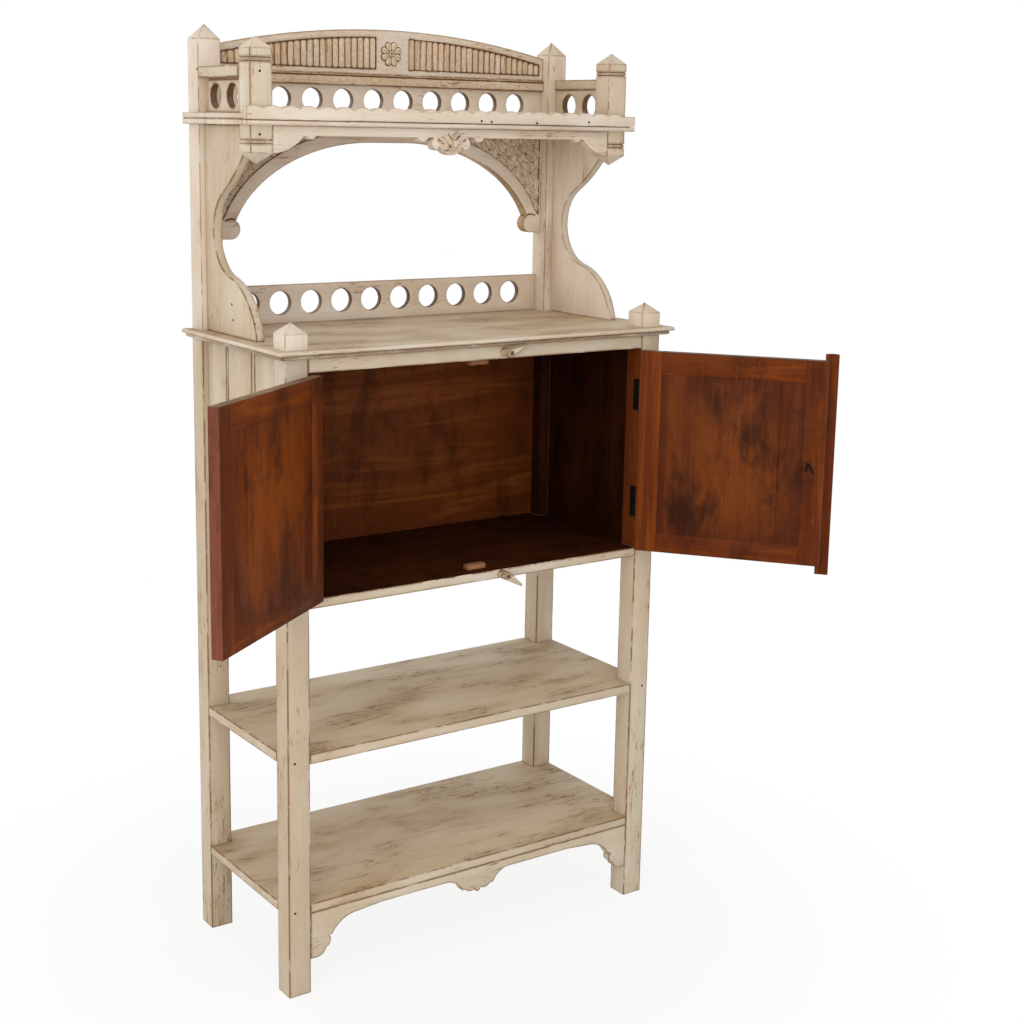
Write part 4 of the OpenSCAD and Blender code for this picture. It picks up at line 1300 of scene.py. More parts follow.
@dataclass
class Cabinet(Assembly):
    """Floor, rail, back, side boards and stops of the cabinet, and the tabletop over it."""

    core_bottom: float = 1142.5 * MM
    lining: float = 378 * MM
    floor_top: float = 725.9 * MM
    inside_from: float = -179.8 * MM
    rail_rear: float = -162 * MM
    rail_low: float = 1118.6 * MM
    joint_depth: tuple[float, float] = (388 * MM, 391 * MM)
    joint_y: tuple[float, float] = (54.0 * MM, 55.5 * MM)
    joint_z: tuple[float, float] = (0.7, 1.15)
    groove_x: tuple[float, float] = (387.2 * MM, 389.6 * MM)
    groove_y: float = 130 * MM

    def build(self) -> None:
        """Builds the cabinet."""
        paint = self.finishes.paint
        # The back's rear faces take the raw wood, lightened with painted light.
        rear = (self.finishes.raw_wood, lambda normal, centre: normal.y > 0.5)
        self.dress("cabinet_floor", paint, Axis.WIDE, (self.finishes.floor_stain, self.on_floor))
        # The rail's inner faces take the inside stain, darkened with painted shade.
        self.dress("front_top_rail", paint, Axis.WIDE, (self.finishes.inside_stain_painted_shade, self.inside_rail))
        self.dress("cabinet_back", self.finishes.back_stain, Axis.WIDE, rear)
        for side in Side:
            self.side_boards(side)
            self.dress(f"{side.word()}_table_moulding", paint, Axis.DEEP, width=0.3 * MM)
        self.dress("front_table_moulding", paint, Axis.WIDE, width=0.3 * MM)
        self.tabletop()
        # The stops take the raw wood, lightened with painted light.
        for node in ("top_stop", "bottom_stop"):
            self.dress(node, self.finishes.raw_wood, Axis.WIDE, width=2.4 * MM, segments=3)

    def side_boards(self, side: Side) -> None:
        """Builds the three boards of one side, with the groove of their plain joint.

        Args:
            side: Side of the boards.
        """
        node = f"{side.word()}_side_boards"
        boards = copy_of(node)
        near, far = side.span(*self.joint_depth)
        low, high = zip(self.joint_y, self.joint_z)
        carve(boards, box_piece("joint_groove", (near, *low), (far, *high)))
        self.dress(
            node,
            self.finishes.paint,
            Axis.UP,
            # Inner faces take the inside stain, darkened with painted shade.
            (self.finishes.inside_stain_painted_shade, lambda normal, centre: abs(centre.x) < self.lining + MM),
            (self.finishes.groove_dirt_and_painted_shade, self.in_groove),
            width=0.5 * MM,
            piece=boards,
        )

    def tabletop(self) -> None:
        """Builds the tabletop: rubbed above, worn under its nose, and stained inside the cabinet.

        The rubbed top and the stain inside are darkened with painted shade.
        """
        inside = self.core_bottom + MM
        self.dress(
            "tabletop",
            self.finishes.tip_paint,
            Axis.WIDE,
            # The top takes the rubbed paint with painted shade; the underside inside the cabinet a stain with
            # painted shade.
            (self.finishes.top_paint_rubbed_and_shaded, lambda normal, centre: normal.z > 0.99),
            (self.finishes.worn_paint, lambda normal, centre: normal.z < -0.6),
            (self.finishes.inside_stain_painted_shade, lambda normal, centre: normal.z < -0.9 and centre.z < inside),
            width=0.5 * MM,
        )

    def on_floor(self, normal: Vector, centre: Vector) -> bool:
        """Tells the top of the cabinet's floor, behind its front arris."""
        return centre.z > self.floor_top and centre.y > self.inside_from

    def inside_rail(self, normal: Vector, centre: Vector) -> bool:
        """Tells the faces of the front rail that look into the cabinet."""
        below = centre.z < self.rail_low and centre.y > self.inside_from
        return centre.y > self.rail_rear or below

    def in_groove(self, normal: Vector, centre: Vector) -> bool:
        """Tells the walls of the grooves beside the side boards' beads."""
        deep = self.groove_x[0] < abs(centre.x) < self.groove_x[1]
        return deep and abs(centre.y) < self.groove_y and abs(normal.z) < 0.5


@dataclass
class Hutch(Assembly):
    """Side panels, lower pierced rail, carved arch board, canopy and valance.

    The rays and strokes of the valance's leaf give a place across and a height in millimetres, a turn in
    degrees and a size.
    """

    arch_face: float = 155 * MM
    arch_centre: tuple[float, float] = (40 * MM, 1291.5 * MM)
    arch_radii: tuple[float, float] = (295 * MM, 200 * MM)
    ball: tuple[float, float] = (332.5 * MM, 1335 * MM)
    ball_radius: float = 18.5 * MM
    scroll_turn: float = 40.0
    scroll_sweep: float = 85.0
    scroll_line_half: float = 0.9 * MM
    scroll_line_sunk: float = 2.2 * MM
    soffit_rise: float = 3 * MM
    bud: tuple[float, float] = (288 * MM, 1474 * MM)
    bud_petals: int = 7
    bud_petal_size: tuple[float, float] = (19 * MM, 13 * MM)
    bud_clearance: float = 14 * MM
    rim: float = 24 * MM
    ground: float = 3.5 * MM
    ground_from: float = 96 * MM
    ground_low: float = 1352 * MM
    post_in: float = 357 * MM
    carving_top: float = 1514 * MM
    rows: int = 15
    row_gap: float = 9.5 * MM
    row_from: float = 0.22
    row_sweep: float = 1.4
    leaf_size: tuple[float, float] = (22 * MM, 11 * MM)
    leaf_bends: tuple[int, int] = (-8, 8)
    leaf_pitch: float = 13 * MM
    leaf_reach: float = 21 * MM
    leaf_from: float = 112 * MM
    leaf_leans: tuple[float, float] = (42.0, -58.0)
    leaf_stray: float = 18.0
    valance_face: float = -58.5 * MM
    valance_relief: float = 2.4 * MM
    paired_rays: tuple[tuple[float, float, float, float], ...] = (
        (0, 1491, 17, 0.95), (3, 1489, 42, 1.0), (5, 1488, 66, 1.15),
        (5, 1487, 92, 0.95), (3, 1488, 122, 0.62), (1.5, 1488, 152, 0.55),
    )
    middle_rays: tuple[tuple[float, float, float, float], ...] = ((0, 1488, 180, 0.55), (0, 1488, 0, 0.42))
    strokes: tuple[tuple[float, float, float, float], ...] = (
        (4, 1499.3, -55, 0.8), (8.1, 1499.3, 52, 0.75), (-15, 1492.5, -62, 0.9), (17, 1494, 68, 0.85),
        (-0.9, 1487.2, -53, 0.7), (7.3, 1485.1, 52, 0.95), (-4.9, 1484, -115, 0.6),
    )
    stroke_sunk: float = 1.6 * MM
    drop_grooves: tuple[float, float] = (1470 * MM, 1650 * MM)

    def build(self) -> None:
        """Builds the hutch between the tabletop and the galleries."""
        # The hutch's paint, also on the side panels' inner faces, is brightened with painted light.
        paint = self.finishes.upper_paint_with_painted_light
        inner = (paint, lambda normal, centre: normal.x * centre.x < -0.1)
        for side in Side:
            self.dress(f"{side.word()}_side_panel", self.finishes.paint, Axis.UP, inner, width=1.2 * MM)
            self.drop_post(f"{side.word()}_drop_post")
        in_hole = (self.finishes.hole_paint, in_rail_hole)
        self.dress("lower_gallery", paint, Axis.WIDE, in_hole, width=0.8 * MM)
        # The canopy's top takes the rubbed paint, which also holds painted shade.
        self.dress("canopy", paint, Axis.WIDE, (self.finishes.top_paint_rubbed_and_shaded, looks_up), width=0.6 * MM)
        self.dress("fringe", paint, Axis.WIDE, width=0.7 * MM)
        self.dress("fringe_bead", paint, Axis.WIDE, width=0.4 * MM)
        self.dress("valance", paint, Axis.WIDE, width=0.7 * MM)
        self.arch()
        self.palmette()

    def drop_post(self, node: str) -> None:
        """Builds one drop post, with dirt in its grooves.

        Args:
            node: Name of its CAD node.
        """
        low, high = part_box(node)
        x, y = (low[0] + high[0]) / 2, (low[1] + high[1]) / 2
        half = (high[0] - low[0]) / 2 - 0.8 * MM

        def sunk(normal: Vector, centre: Vector) -> bool:
            """Tells a straight face that lies under the post's own faces."""
            straight = abs(normal.z) < 0.1 and max(abs(centre.x - x), abs(centre.y - y)) < half
            return straight and self.drop_grooves[0] < centre.z < self.drop_grooves[1]

        grooves, tips = (self.finishes.hole_paint, sunk), (self.finishes.tip_paint, slopes)
        self.dress(node, self.finishes.paint, Axis.UP, grooves, tips, width=0.5 * MM)

    def arch_line(self, x: float, out: float) -> float:
        """Gives the height of a line that follows the arch.

        Args:
            x: Distance from the middle.
            out: Distance of the line outside the arch's edge.

        Returns:
            The line's height.
        """
        cx, cz = self.arch_centre
        share = min(1.0, max(0.0, (x - cx) / (self.arch_radii[0] + out)))
        return cz + (self.arch_radii[1] + out) * math.sqrt(1 - share * share)

    def arch(self) -> None:
        """Builds the arch board, with a plain rim and carved foliage over it."""
        board = copy_of("rear_arch")
        cutter = self.spandrel_ground()
        other = copy_piece(cutter, "spandrel_ground_left", MIRROR)
        carve(board, cutter)
        carve(board, other)
        for side in Side:
            carve(board, self.scroll_line(side))
        soften(board, 0.8 * MM)
        lay_grain(board, Axis.WIDE, self.next_seed())
        coat(
            board,
            # The arch board takes the upper paint, brightened with painted light.
            self.finishes.upper_paint_with_painted_light,
            (self.finishes.soffit_paint, self.on_soffit),
            # The carved ground takes a paint brightened with painted light.
            (self.finishes.ground_paint, self.on_ground),
            # The carved walls are painted dark: painted shade along the carving's edge, with dirt.
            (self.finishes.groove_dirt_and_painted_shade, self.on_carved_wall),
        )
        self.keep(join(board, *self.foliage()), "rear_arch")

    def spandrel_ground(self) -> Piece:
        """Makes the cutter of the right spandrel's ground, between the arch's rim and a straight top.

        Returns:
            The cutter.
        """
        steps = 40
        start, end = self.ground_from, self.post_in - 5 * MM

        def rule(u: float, v: float) -> Point:
            """Gives the upper edge or the lower one, which follows the arch.

            Args:
                u: Place across, from -1 to 1.
                v: Place along, from 0 to 1.

            Returns:
                The point.
            """
            x = start + (end - start) * round((u + 1) / 2 * steps) / steps
            low = min(self.carving_top - MM, max(self.ground_low, self.arch_line(x, self.rim)))
            return x, self.arch_face - 2 * MM, self.carving_top if v > 0.5 else low

        return relief("spandrel_ground", steps, 1, rule, self.arch_face + self.ground)

    def scroll_line(self, side: Side) -> Piece:
        """Makes the cutter of the line that sets the scroll ball off from the rim.

        Args:
            side: Side of the ball.

        Returns:
            The cutter, a bent bar over the ball.
        """
        x, z = self.ball

        def rule(u: float, v: float) -> Point:
            """Gives a point of the bar, which bends round the ball.

            Args:
                u: Place across, from -1 to 1.
                v: Place along, from 0 to 1.

            Returns:
                The point.
            """
            turn = math.radians(self.scroll_turn + self.scroll_sweep * v)
            reach = self.ball_radius + u * self.scroll_line_half
            across = side.value * (x - reach * math.cos(turn))
            return across, self.arch_face - 2 * MM, z + reach * math.sin(turn)

        back = self.arch_face + self.scroll_line_sunk
        cutter = relief(f"scroll_line_{side.word()}", 1, 14, rule, back)
        if side is Side.LEFT:
            face_outwards(cutter)
        return cutter

    def on_soffit(self, normal: Vector, centre: Vector) -> bool:
        """Tells the rubbed underside of the arch and of the scroll balls.

        Args:
            normal: The face's normal.
            centre: The face's centre.

        Returns:
            Whether the face looks into the opening.
        """
        x = abs(centre.x)
        in_arch = centre.z < self.arch_line(x, self.soffit_rise)
        on_ball = math.dist((x, centre.z), self.ball) < self.ball_radius + MM
        return abs(normal.y) < 0.6 and (in_arch or on_ball) and x < self.post_in - MM

    def on_ground(self, normal: Vector, centre: Vector) -> bool:
        """Tells the flat ground of the spandrels."""
        return normal.y < -0.5 and centre.y > self.arch_face + self.ground - 0.5 * MM

    def on_carved_wall(self, normal: Vector, centre: Vector) -> bool:
        """Tells the walls of the carved ground and of the scroll lines.

        Args:
            normal: The face's normal.
            centre: The face's centre.

        Returns:
            Whether the face is such a wall.
        """
        level = self.arch_face + 0.8 * MM < centre.y < self.arch_face + self.ground - 0.5 * MM
        low = self.arch_line(abs(centre.x), self.soffit_rise)
        return level and low < centre.z < self.carving_top - MM

    def foliage(self) -> list[Piece]:
        """Carves the leaves and buds of both spandrels.

        Returns:
            The carvings, coated.
        """
        ground = self.arch_face + self.ground
        height = self.ground + 0.8 * MM
        patterns = [
            leaf(f"spandrel_leaf_{bend}", *self.leaf_size, height, bend=bend * MM) for bend in self.leaf_bends
        ]
        carvings = []
        for number, spray in enumerate(self.sprays()):
            carvings += self.both_sides(patterns[number % 2], f"spandrel_leaf_{number}", *spray)
        for pattern in patterns:
            drop(pattern)
        petal = leaf("bud_petal", *self.bud_petal_size, height + MM)
        for number in range(self.bud_petals):
            turn = 20 + number * 360 / self.bud_petals
            carvings += self.both_sides(petal, f"bud_petal_{number}", *self.bud, turn, 1.0)
        drop(petal)
        # The leaves and buds take the carved paint, brightened with painted light.
        for carving in carvings:
            self.coat_carving(carving, self.finishes.carved_paint_with_painted_light, ground, height, 0.18)
        return carvings

    def both_sides(
        self, pattern: Piece, name: str, x: float, z: float, turn: float, scale: float
    ) -> list[Piece]:
        """Copies a carving to its place in the right spandrel and, mirrored, in the left one.

        Args:
            pattern: The carving.
            name: First words of the copies' names.
            x: Place across in metres.
            z: Height.
            turn: Turn to the right in degrees.
            scale: Size.

        Returns:
            Both copies.
        """
        place = (x, self.arch_face + self.ground, z, turn, scale)
        return [
            copy_piece(pattern, f"{name}_{side.word()}", upright(*place, flip=side is Side.LEFT))
            for side in Side
        ]

    def sprays(self) -> list[tuple[float, float, float, float]]:
        """Lays the right spandrel's leaves out in rows over the arch, turned to either side by turns.

        Returns:
            Place across, height, turn in degrees and size of each leaf.
        """
        rng = random.Random(41)
        cx, cz = self.arch_centre
        leaves = []
        for row in range(self.rows):
            out = self.rim + 2 * MM + row * self.row_gap
            rx, rz = self.arch_radii[0] + out, self.arch_radii[1] + out
            count = int(self.row_sweep * rx / self.leaf_pitch)
            for number in range(count):
                step = number + 0.5 * (row % 2) + rng.uniform(-0.25, 0.25)
                angle = self.row_sweep * step / count + self.row_from
                x, z = cx + rx * math.cos(angle), cz + rz * math.sin(angle)
                along = math.degrees(math.atan2(-rx * math.sin(angle), rz * math.cos(angle)))
                stray = rng.uniform(-self.leaf_stray, self.leaf_stray)
                turn = along + stray + self.leaf_leans[number % 2]
                for scale in (rng.uniform(0.8, 1.15), 0.6):
                    if self.fits(x, z, turn, self.leaf_reach * scale):
                        leaves.append((x, z, turn, scale))
                        break
        return leaves

    def fits(self, x: float, z: float, turn: float, reach: float) -> bool:
        """Tells whether a leaf stays on the carved ground and off the bud.

        Args:
            x: Place of its root across.
            z: Height of its root.
            turn: Its turn to the right in degrees.
            reach: Distance from root to tip.

        Returns:
            Whether it fits.
        """
        heading = math.radians(turn)
        tip_x, tip_z = x + reach * math.sin(heading), z + reach * math.cos(heading)
        inside = max(x, tip_x) < self.post_in - 3 * MM and max(z, tip_z) < self.carving_top - 2 * MM
        clear = tip_z > self.arch_line(tip_x, self.rim - 2 * MM) and x > self.leaf_from
        return inside and clear and math.dist((x, z), self.bud) > self.bud_clearance

    def palmette(self) -> None:
        """Carves the leaf on the valance's middle drop, with dark strokes beside it."""
        face, height = self.valance_face, self.valance_relief
        pattern = leaf("palmette_leaf", 24 * MM, 8 * MM, height)
        rays = [
            (hand * x, z, hand * turn, scale) for x, z, turn, scale in self.paired_rays for hand in (1, -1)
        ]
        rays += self.middle_rays
        carvings = [
            copy_piece(pattern, f"palmette_leaf_{number}", upright(x * MM, face, z * MM, turn, scale))
            for number, (x, z, turn, scale) in enumerate(rays)
        ]
        stroke = leaf("palmette_stroke", 20 * MM, 2.8 * MM, 0.7 * MM, fold=0.0, bend=-3.5 * MM)
        for number, (x, z, turn, scale) in enumerate(self.strokes):
            hand = math.copysign(1, turn)
            place = upright(hand * x * MM, face - self.stroke_sunk, z * MM, hand * turn, scale, hand < 0)
            carvings.append(copy_piece(stroke, f"palmette_stroke_{number}", place))
        drop(stroke)
        drop(pattern)
        # The palmette's leaves take the carved paint, brightened with painted light.
        for number, carving in enumerate(carvings):
            finish = self.finishes.carved_paint_with_painted_light if number < len(rays) else self.finishes.groove_dirt_and_painted_shade
            self.coat_carving(carving, finish, face, height)
        piece = join(carvings[0], *carvings[1:])
        piece.name = "valance_leaf_dressed"
        self.keep(piece, "valance_leaf")


@dataclass
class Crown(Assembly):
    """Galleries on the canopy, and the crest with its reeds and rosette."""

    crest_face: float = 157 * MM
    crest_apex: float = 1699.5 * MM
    crest_radius: float = 1624 * MM
    panel_low: float = 1627 * MM
    panels: tuple[tuple[float, float], ...] = ((-347 * MM, -30 * MM), (42 * MM, 347 * MM))
    border: float = 14 * MM
    border_w: float = 13 * MM
    border_sunk: float = 2.5 * MM
    top_border: float = 4 * MM
    hole_z: tuple[float, float] = (1546 * MM, 1592 * MM)
    hole_y: tuple[float, float] = (-10 * MM, 120 * MM)
    line_under_top: float = 4.2 * MM
    line_w: float = 0.8 * MM
    line_sunk: float = 0.7 * MM
    ground: float = 2.4 * MM
    reed_pitch: float = 13.4 * MM
    rosette: tuple[float, float] = (2.5 * MM, 1656 * MM)
    petals: int = 8
    petal: tuple[float, float, float] = (21.3 * MM, 11.6 * MM, 4.6 * MM)
    petal_from: float = 4 * MM
    petal_notch: tuple[float, float] = (2 * MM, 2.4 * MM)
    ring: tuple[float, float] = (3.6 * MM, 1.7 * MM)
    ring_proud: float = 3.2 * MM

    def build(self) -> None:
        """Builds the galleries, strip, crest and rosette."""
        for side in Side:
            self.side_gallery(side)
            self.dress(f"{side.word()}_gallery_cap", self.finishes.paint, Axis.DEEP, width=1.0 * MM)
        in_hole = (self.finishes.hole_paint, in_rail_hole)
        # The upper gallery takes the upper paint, brightened with painted light.
        self.dress("upper_gallery", self.finishes.upper_paint_with_painted_light, Axis.WIDE, in_hole, width=0.8 * MM)
        self.cap_strip()
        self.crest()
        self.flower()

    def side_gallery(self, side: Side) -> None:
        """Builds one pierced side gallery, with a sunk border at its back and top.

        Args:
            side: Side of the gallery.
        """
        node = f"{side.word()}_side_gallery"
        board = copy_of(node)
        low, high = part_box(node)
        face = low[0] if side is Side.LEFT else high[0]
        near, far = sorted((face + side.value * MM, face - side.value * self.border_sunk))
        top, border = high[2] + MM, high[1] - self.border_w
        carve(board, box_piece("back_border", (near, border, low[2] - MM), (far, high[1] + MM, top)))
        corner = (near, low[1] - MM, high[2] - self.top_border)
        carve(board, box_piece("top_border", corner, (far, border + MM, top)))
        self.dress(
            node,
            self.finishes.paint,
            Axis.DEEP,
            (self.finishes.hole_paint, self.in_side_hole),
            (self.finishes.worn_paint, lambda normal, centre: centre.y > border),
            width=0.7 * MM,
            piece=board,
        )

    def in_side_hole(self, normal: Vector, centre: Vector) -> bool:
        """Tells the walls of a side gallery's round holes."""
        level = self.hole_z[0] < centre.z < self.hole_z[1]
        return abs(normal.x) < 0.5 and level and self.hole_y[0] < centre.y < self.hole_y[1]

    def cap_strip(self) -> None:
        """Builds the moulded strip under the crest, with a fine line over its rubbed nose."""
        strip = copy_of("cap_strip")
        low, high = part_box("cap_strip")
        line = high[2] - self.line_under_top
        start = (low[0] - MM, low[1] - MM, line)
        end = (high[0] + MM, low[1] + self.line_sunk, line + self.line_w)
        carve(strip, box_piece("strip_groove", start, end))
        self.dress(
            "cap_strip",
            self.finishes.worn_paint,
            Axis.WIDE,
            (self.finishes.groove_dirt_and_painted_shade, lambda normal, centre: line < centre.z < line + self.line_w),
            width=1.2 * MM,
            segments=3,
            piece=strip,
        )

    def crest_line(self, x: float) -> float:
        """Gives the height of the crest's upper edge at a distance from the middle."""
        return self.crest_apex - self.crest_radius + math.sqrt(self.crest_radius**2 - x * x)

    def crest(self) -> None:
        """Builds the crest board with its two sunk and reeded panels."""
        board = copy_of("crest")
        ground = self.crest_face + self.ground
        for start, end in self.panels:
            carve(board, self.panel_cutter(start, end))
        soften(board, 0.7 * MM)
        lay_grain(board, Axis.WIDE, self.next_seed())
        coat(
            board,
            # The crest takes the upper paint, brightened with painted light.
            self.finishes.upper_paint_with_painted_light,
            (self.finishes.speckled_paint, self.on_crest_face),
            # The sunk panels take the dark groove paint: dirt and painted shade between the reeds.
            (self.finishes.groove_dirt_and_painted_shade, self.in_panel),
        )
        root = (self.finishes.soffit_paint, lambda normal, centre: centre.y > ground - 0.10 * self.ground)
        reeds = [reed for start, end in self.panels for reed in self.reeds(start, end)]
        for reed in reeds:
            lay_grain(reed, Axis.UP, self.next_seed())
            coat(reed, self.finishes.worn_paint, root)
        self.keep(join(board, *reeds), "crest")

    def on_crest_face(self, normal: Vector, centre: Vector) -> bool:
        """Tells the crest's front face."""
        return normal.y < -0.9 and centre.y < self.crest_face + 0.2 * MM

    def in_panel(self, normal: Vector, centre: Vector) -> bool:
        """Tells the ground and walls of the sunk panels."""
        sunk = self.crest_face + 0.3 * MM < centre.y < self.crest_face + self.ground + 0.1 * MM
        return sunk and self.panel_low - MM < centre.z < self.crest_line(centre.x) - self.border + MM

    def panel_cutter(self, start: float, end: float) -> Piece:
        """Makes the cutter of one sunk panel.

        Args:
            start: Left end of the panel.
            end: Right end of the panel.

        Returns:
            The cutter.
        """

        def rule(u: float, v: float) -> Point:
            """Gives the panel's arched upper edge or its straight lower one.

            Args:
                u: Place across, from -1 to 1.
                v: Place along, from 0 to 1.

            Returns:
                The point.
            """
            x = start + (end - start) * (u + 1) / 2
            upper = self.crest_line(x) - self.border
            return x, self.crest_face - 2 * MM, upper if v > 0.5 else self.panel_low

        return relief("panel_ground", 24, 1, rule, self.crest_face + self.ground)

    def reeds(self, start: float, end: float) -> list[Piece]:
        """Carves the reeds of one panel side by side.

        Args:
            start: Left end of the panel.
            end: Right end of the panel.

        Returns:
            The reeds.
        """
        count = round((end - start) / self.reed_pitch)
        pitch = (end - start) / count
        gap, height = 0.3 * MM, self.ground + 0.2 * MM
        reeds = []
        for number in range(count):
            x = start + (number + 0.5) * pitch
            top = self.crest_line(abs(x) + pitch / 2) - self.border - gap
            reed = bead(f"reed_{number}", self.panel_low + gap, top, 0.47 * pitch, height)
            reed.data.transform(Matrix.Translation((x, self.crest_face + self.ground, 0)))
            reeds.append(reed)
        return reeds

    def flower(self) -> None:
        """Carves the rosette: petals over flattened outlines of dirt and painted shade, round a small ring.
        """
        x, z = self.rosette
        length, width, height = self.petal
        notch_w, notch = self.petal_notch

        def shape(co: Vector) -> Point:
            """Widens a petal towards its end, which is notched in the middle.

            Args:
                co: Place of a vertex.

            Returns:
                Its new place.
            """
            share = co.z / length
            middle = math.exp(-((co.x / notch_w) ** 2))
            return co.x * (0.4 + 1.2 * share), co.y, co.z - notch * share**4 * middle

        petal = leaf("petal", length, width, height)
        reshape(petal, shape)
        # Each petal sits on a flat, larger copy in the dark groove paint: a rim of dirt and painted shade.
        flatten = Matrix.Diagonal((1.28, 0.15, 1.03, 1))
        parts = []
        for number in range(self.petals):
            turn = (number + 0.5) * 360 / self.petals
            place = upright(x, self.crest_face, z, turn) @ Matrix.Translation((0, 0, self.petal_from))
            parts.append(copy_piece(petal, f"petal_{number}", place))
            parts.append(copy_piece(petal, f"petal_outline_{number}", place @ flatten))
        drop(petal)
        release()
        bpy.ops.mesh.primitive_torus_add(
            major_radius=self.ring[0],
            minor_radius=self.ring[1],
            major_segments=20,
            minor_segments=8,
            location=(x, self.crest_face - self.ring_proud, z),
            rotation=(math.pi / 2, 0, 0),
        )
        parts.append(named("rosette_ring"))
        # The rosette takes the carved paint, brightened with painted light.
        for part in parts:
            self.coat_carving(part, self.finishes.carved_paint_with_painted_light, self.crest_face, height)
        piece = join(parts[0], *parts[1:])
        piece.name = "rosette_dressed"
        self.keep(piece, "rosette")


@dataclass
class Door(Assembly):
    """One door: frame, panel, and on the right door the cover strip, knob and split pin."""

    side: Side = Side.LEFT
    boards: tuple[tuple[str, Axis], ...] = (
        ("hinge_stile", Axis.UP), ("lock_stile", Axis.UP),
        ("door_top_rail", Axis.WIDE), ("door_bottom_rail", Axis.WIDE),
    )
    panel_joint: float = 86 * MM
    joint_half: float = 0.3 * MM
    joint_sunk: float = 0.8 * MM
    joint_z: tuple[float, float] = (0.6, 1.2)
    inner_face: float = -161.9 * MM
    outer_face: float = -181.4 * MM
    free_edge: float = 1.5 * MM
    pin_edge: float = 354 * MM
    bottom: float = 729 * MM
    top: float = 1116 * MM
    knob_place: tuple[float, float] = (30 * MM, 925 * MM)
    knob_outline: tuple[tuple[float, float], ...] = (
        (0, 0), (9.4, 0), (9.6, 0.8), (8.6, 2.3), (5.4, 2.9), (4.6, 5), (4.8, 9), (7.6, 12.4),
        (10.8, 16.2), (11.9, 21), (10.9, 26), (7.6, 30.8), (3.6, 33.0), (0, 33.5),
    )
    pin_half: float = 2.0 * MM
    pin_legs: tuple[tuple[str, float, float], ...] = (("upper", 152, 22 * MM), ("lower", 192, 17 * MM))

    def body(self) -> str:
        """Gives the name of the body that the door is."""
        return f"{self.side.word()}_door"

    def stain(self) -> Material:
        """Gives the door's stain, which is darker on the right door as painted shade."""
        return self.finishes.door_stain if self.side is Side.LEFT else self.finishes.door_stain_painted_shade

    def extent(self) -> tuple[Point, Point]:
        """Gives the corners of the closed door."""
        near, far = self.side.span(self.free_edge, self.pin_edge)
        return (near, self.outer_face, self.bottom), (far, self.inner_face, self.top)

    def swing(self) -> Matrix:
        """Works out how the door has been turned open.

        Returns:
            The turn from the closed door to the door as it stands open.
        """
        joint = next(joint for joint in frame["joints"] if joint["child"] == self.body())
        low, high = joint["range_deg"]
        closed = high if self.side is Side.LEFT else low
        pin = Vector(joint["pos_m"])
        turn = Matrix.Rotation(math.radians(-closed), 4, "Z")
        return Matrix.Translation(pin) @ turn @ Matrix.Translation(-pin)

    def build(self) -> None:
        """Builds the door."""
        # The frame boards take the frame stain, lightened with painted light.
        word, stain = self.side.word(), self.finishes.frame_stain_painted_light
        unturn = self.swing().inverted()
        free_edge = (
            self.finishes.edge_stain,
            lambda normal, centre: abs((unturn @ centre).x) < self.free_edge + 0.7 * MM,
        )
        top_edge = (self.finishes.groove_dirt_and_painted_shade, looks_up)
        for node, along in self.boards:
            self.dress_closed(f"{word}_{node}", stain, along, free_edge, top_edge, width=0.6 * MM)
        self.panel(f"{word}_door_panel")
        if self.side is Side.RIGHT:
            self.dress_closed("astragal", stain, Axis.UP, width=0.8 * MM)
            self.knob()
            self.split_pin()

    def dress_closed(
        self,
        node: str,
        finish: Material,
        along: Axis,
        *patches: tuple[Material, FaceTest],
        width: float,
        piece: Piece | None = None,
    ) -> None:
        """Dresses a board by its place in the closed door, with the arguments of dress."""
        closed = {"unturn": self.swing().inverted(), "extent": self.extent()}
        self.dress(node, finish, along, *patches, width=width, piece=piece, **closed)

    def panel(self, node: str) -> None:
        """Builds the panel, with the joint of its two boards.

        Args:
            node: Name of the panel's CAD node.
        """
        x = self.side.value * self.panel_joint
        low_z, high_z = self.joint_z
        low = (x - self.joint_half, self.inner_face - self.joint_sunk, low_z)
        joint = box_piece("panel_joint", low, (x + self.joint_half, self.inner_face + 2 * MM, high_z))
        joint.data.transform(self.swing())
        board = copy_of(node)
        carve(board, joint)
        self.dress_closed(node, self.stain(), Axis.UP, width=0.35 * MM, piece=board)

    def knob(self) -> None:
        """Turns the round knob with its plate and neck."""
        x, z = self.knob_place
        knob = turned("door_knob_dressed", self.knob_outline, 32)
        knob.data.transform(self.swing() @ facing_front(x, self.outer_face, z))
        coat(knob, self.finishes.iron)
        self.keep(knob, "door_knob")

    def split_pin(self) -> None:
        """Bends the two legs of the knob's split pin on the door's inner face."""
        x, z = self.knob_place
        base = Matrix.Translation((x, self.inner_face, z)) @ Matrix.Rotation(math.pi, 4, "Z")
        legs = []
        for name, turn, length in self.pin_legs:
            leg = bead(f"split_pin_{name}", 0, length, self.pin_half, self.pin_half)
            leg.data.transform(self.swing() @ base @ Matrix.Rotation(math.radians(turn), 4, "Y"))
            legs.append(leg)
        pin = join(legs[0], legs[1])
        pin.name = "split_pin"
        self.ride_along(pin, self.finishes.iron, self.body())


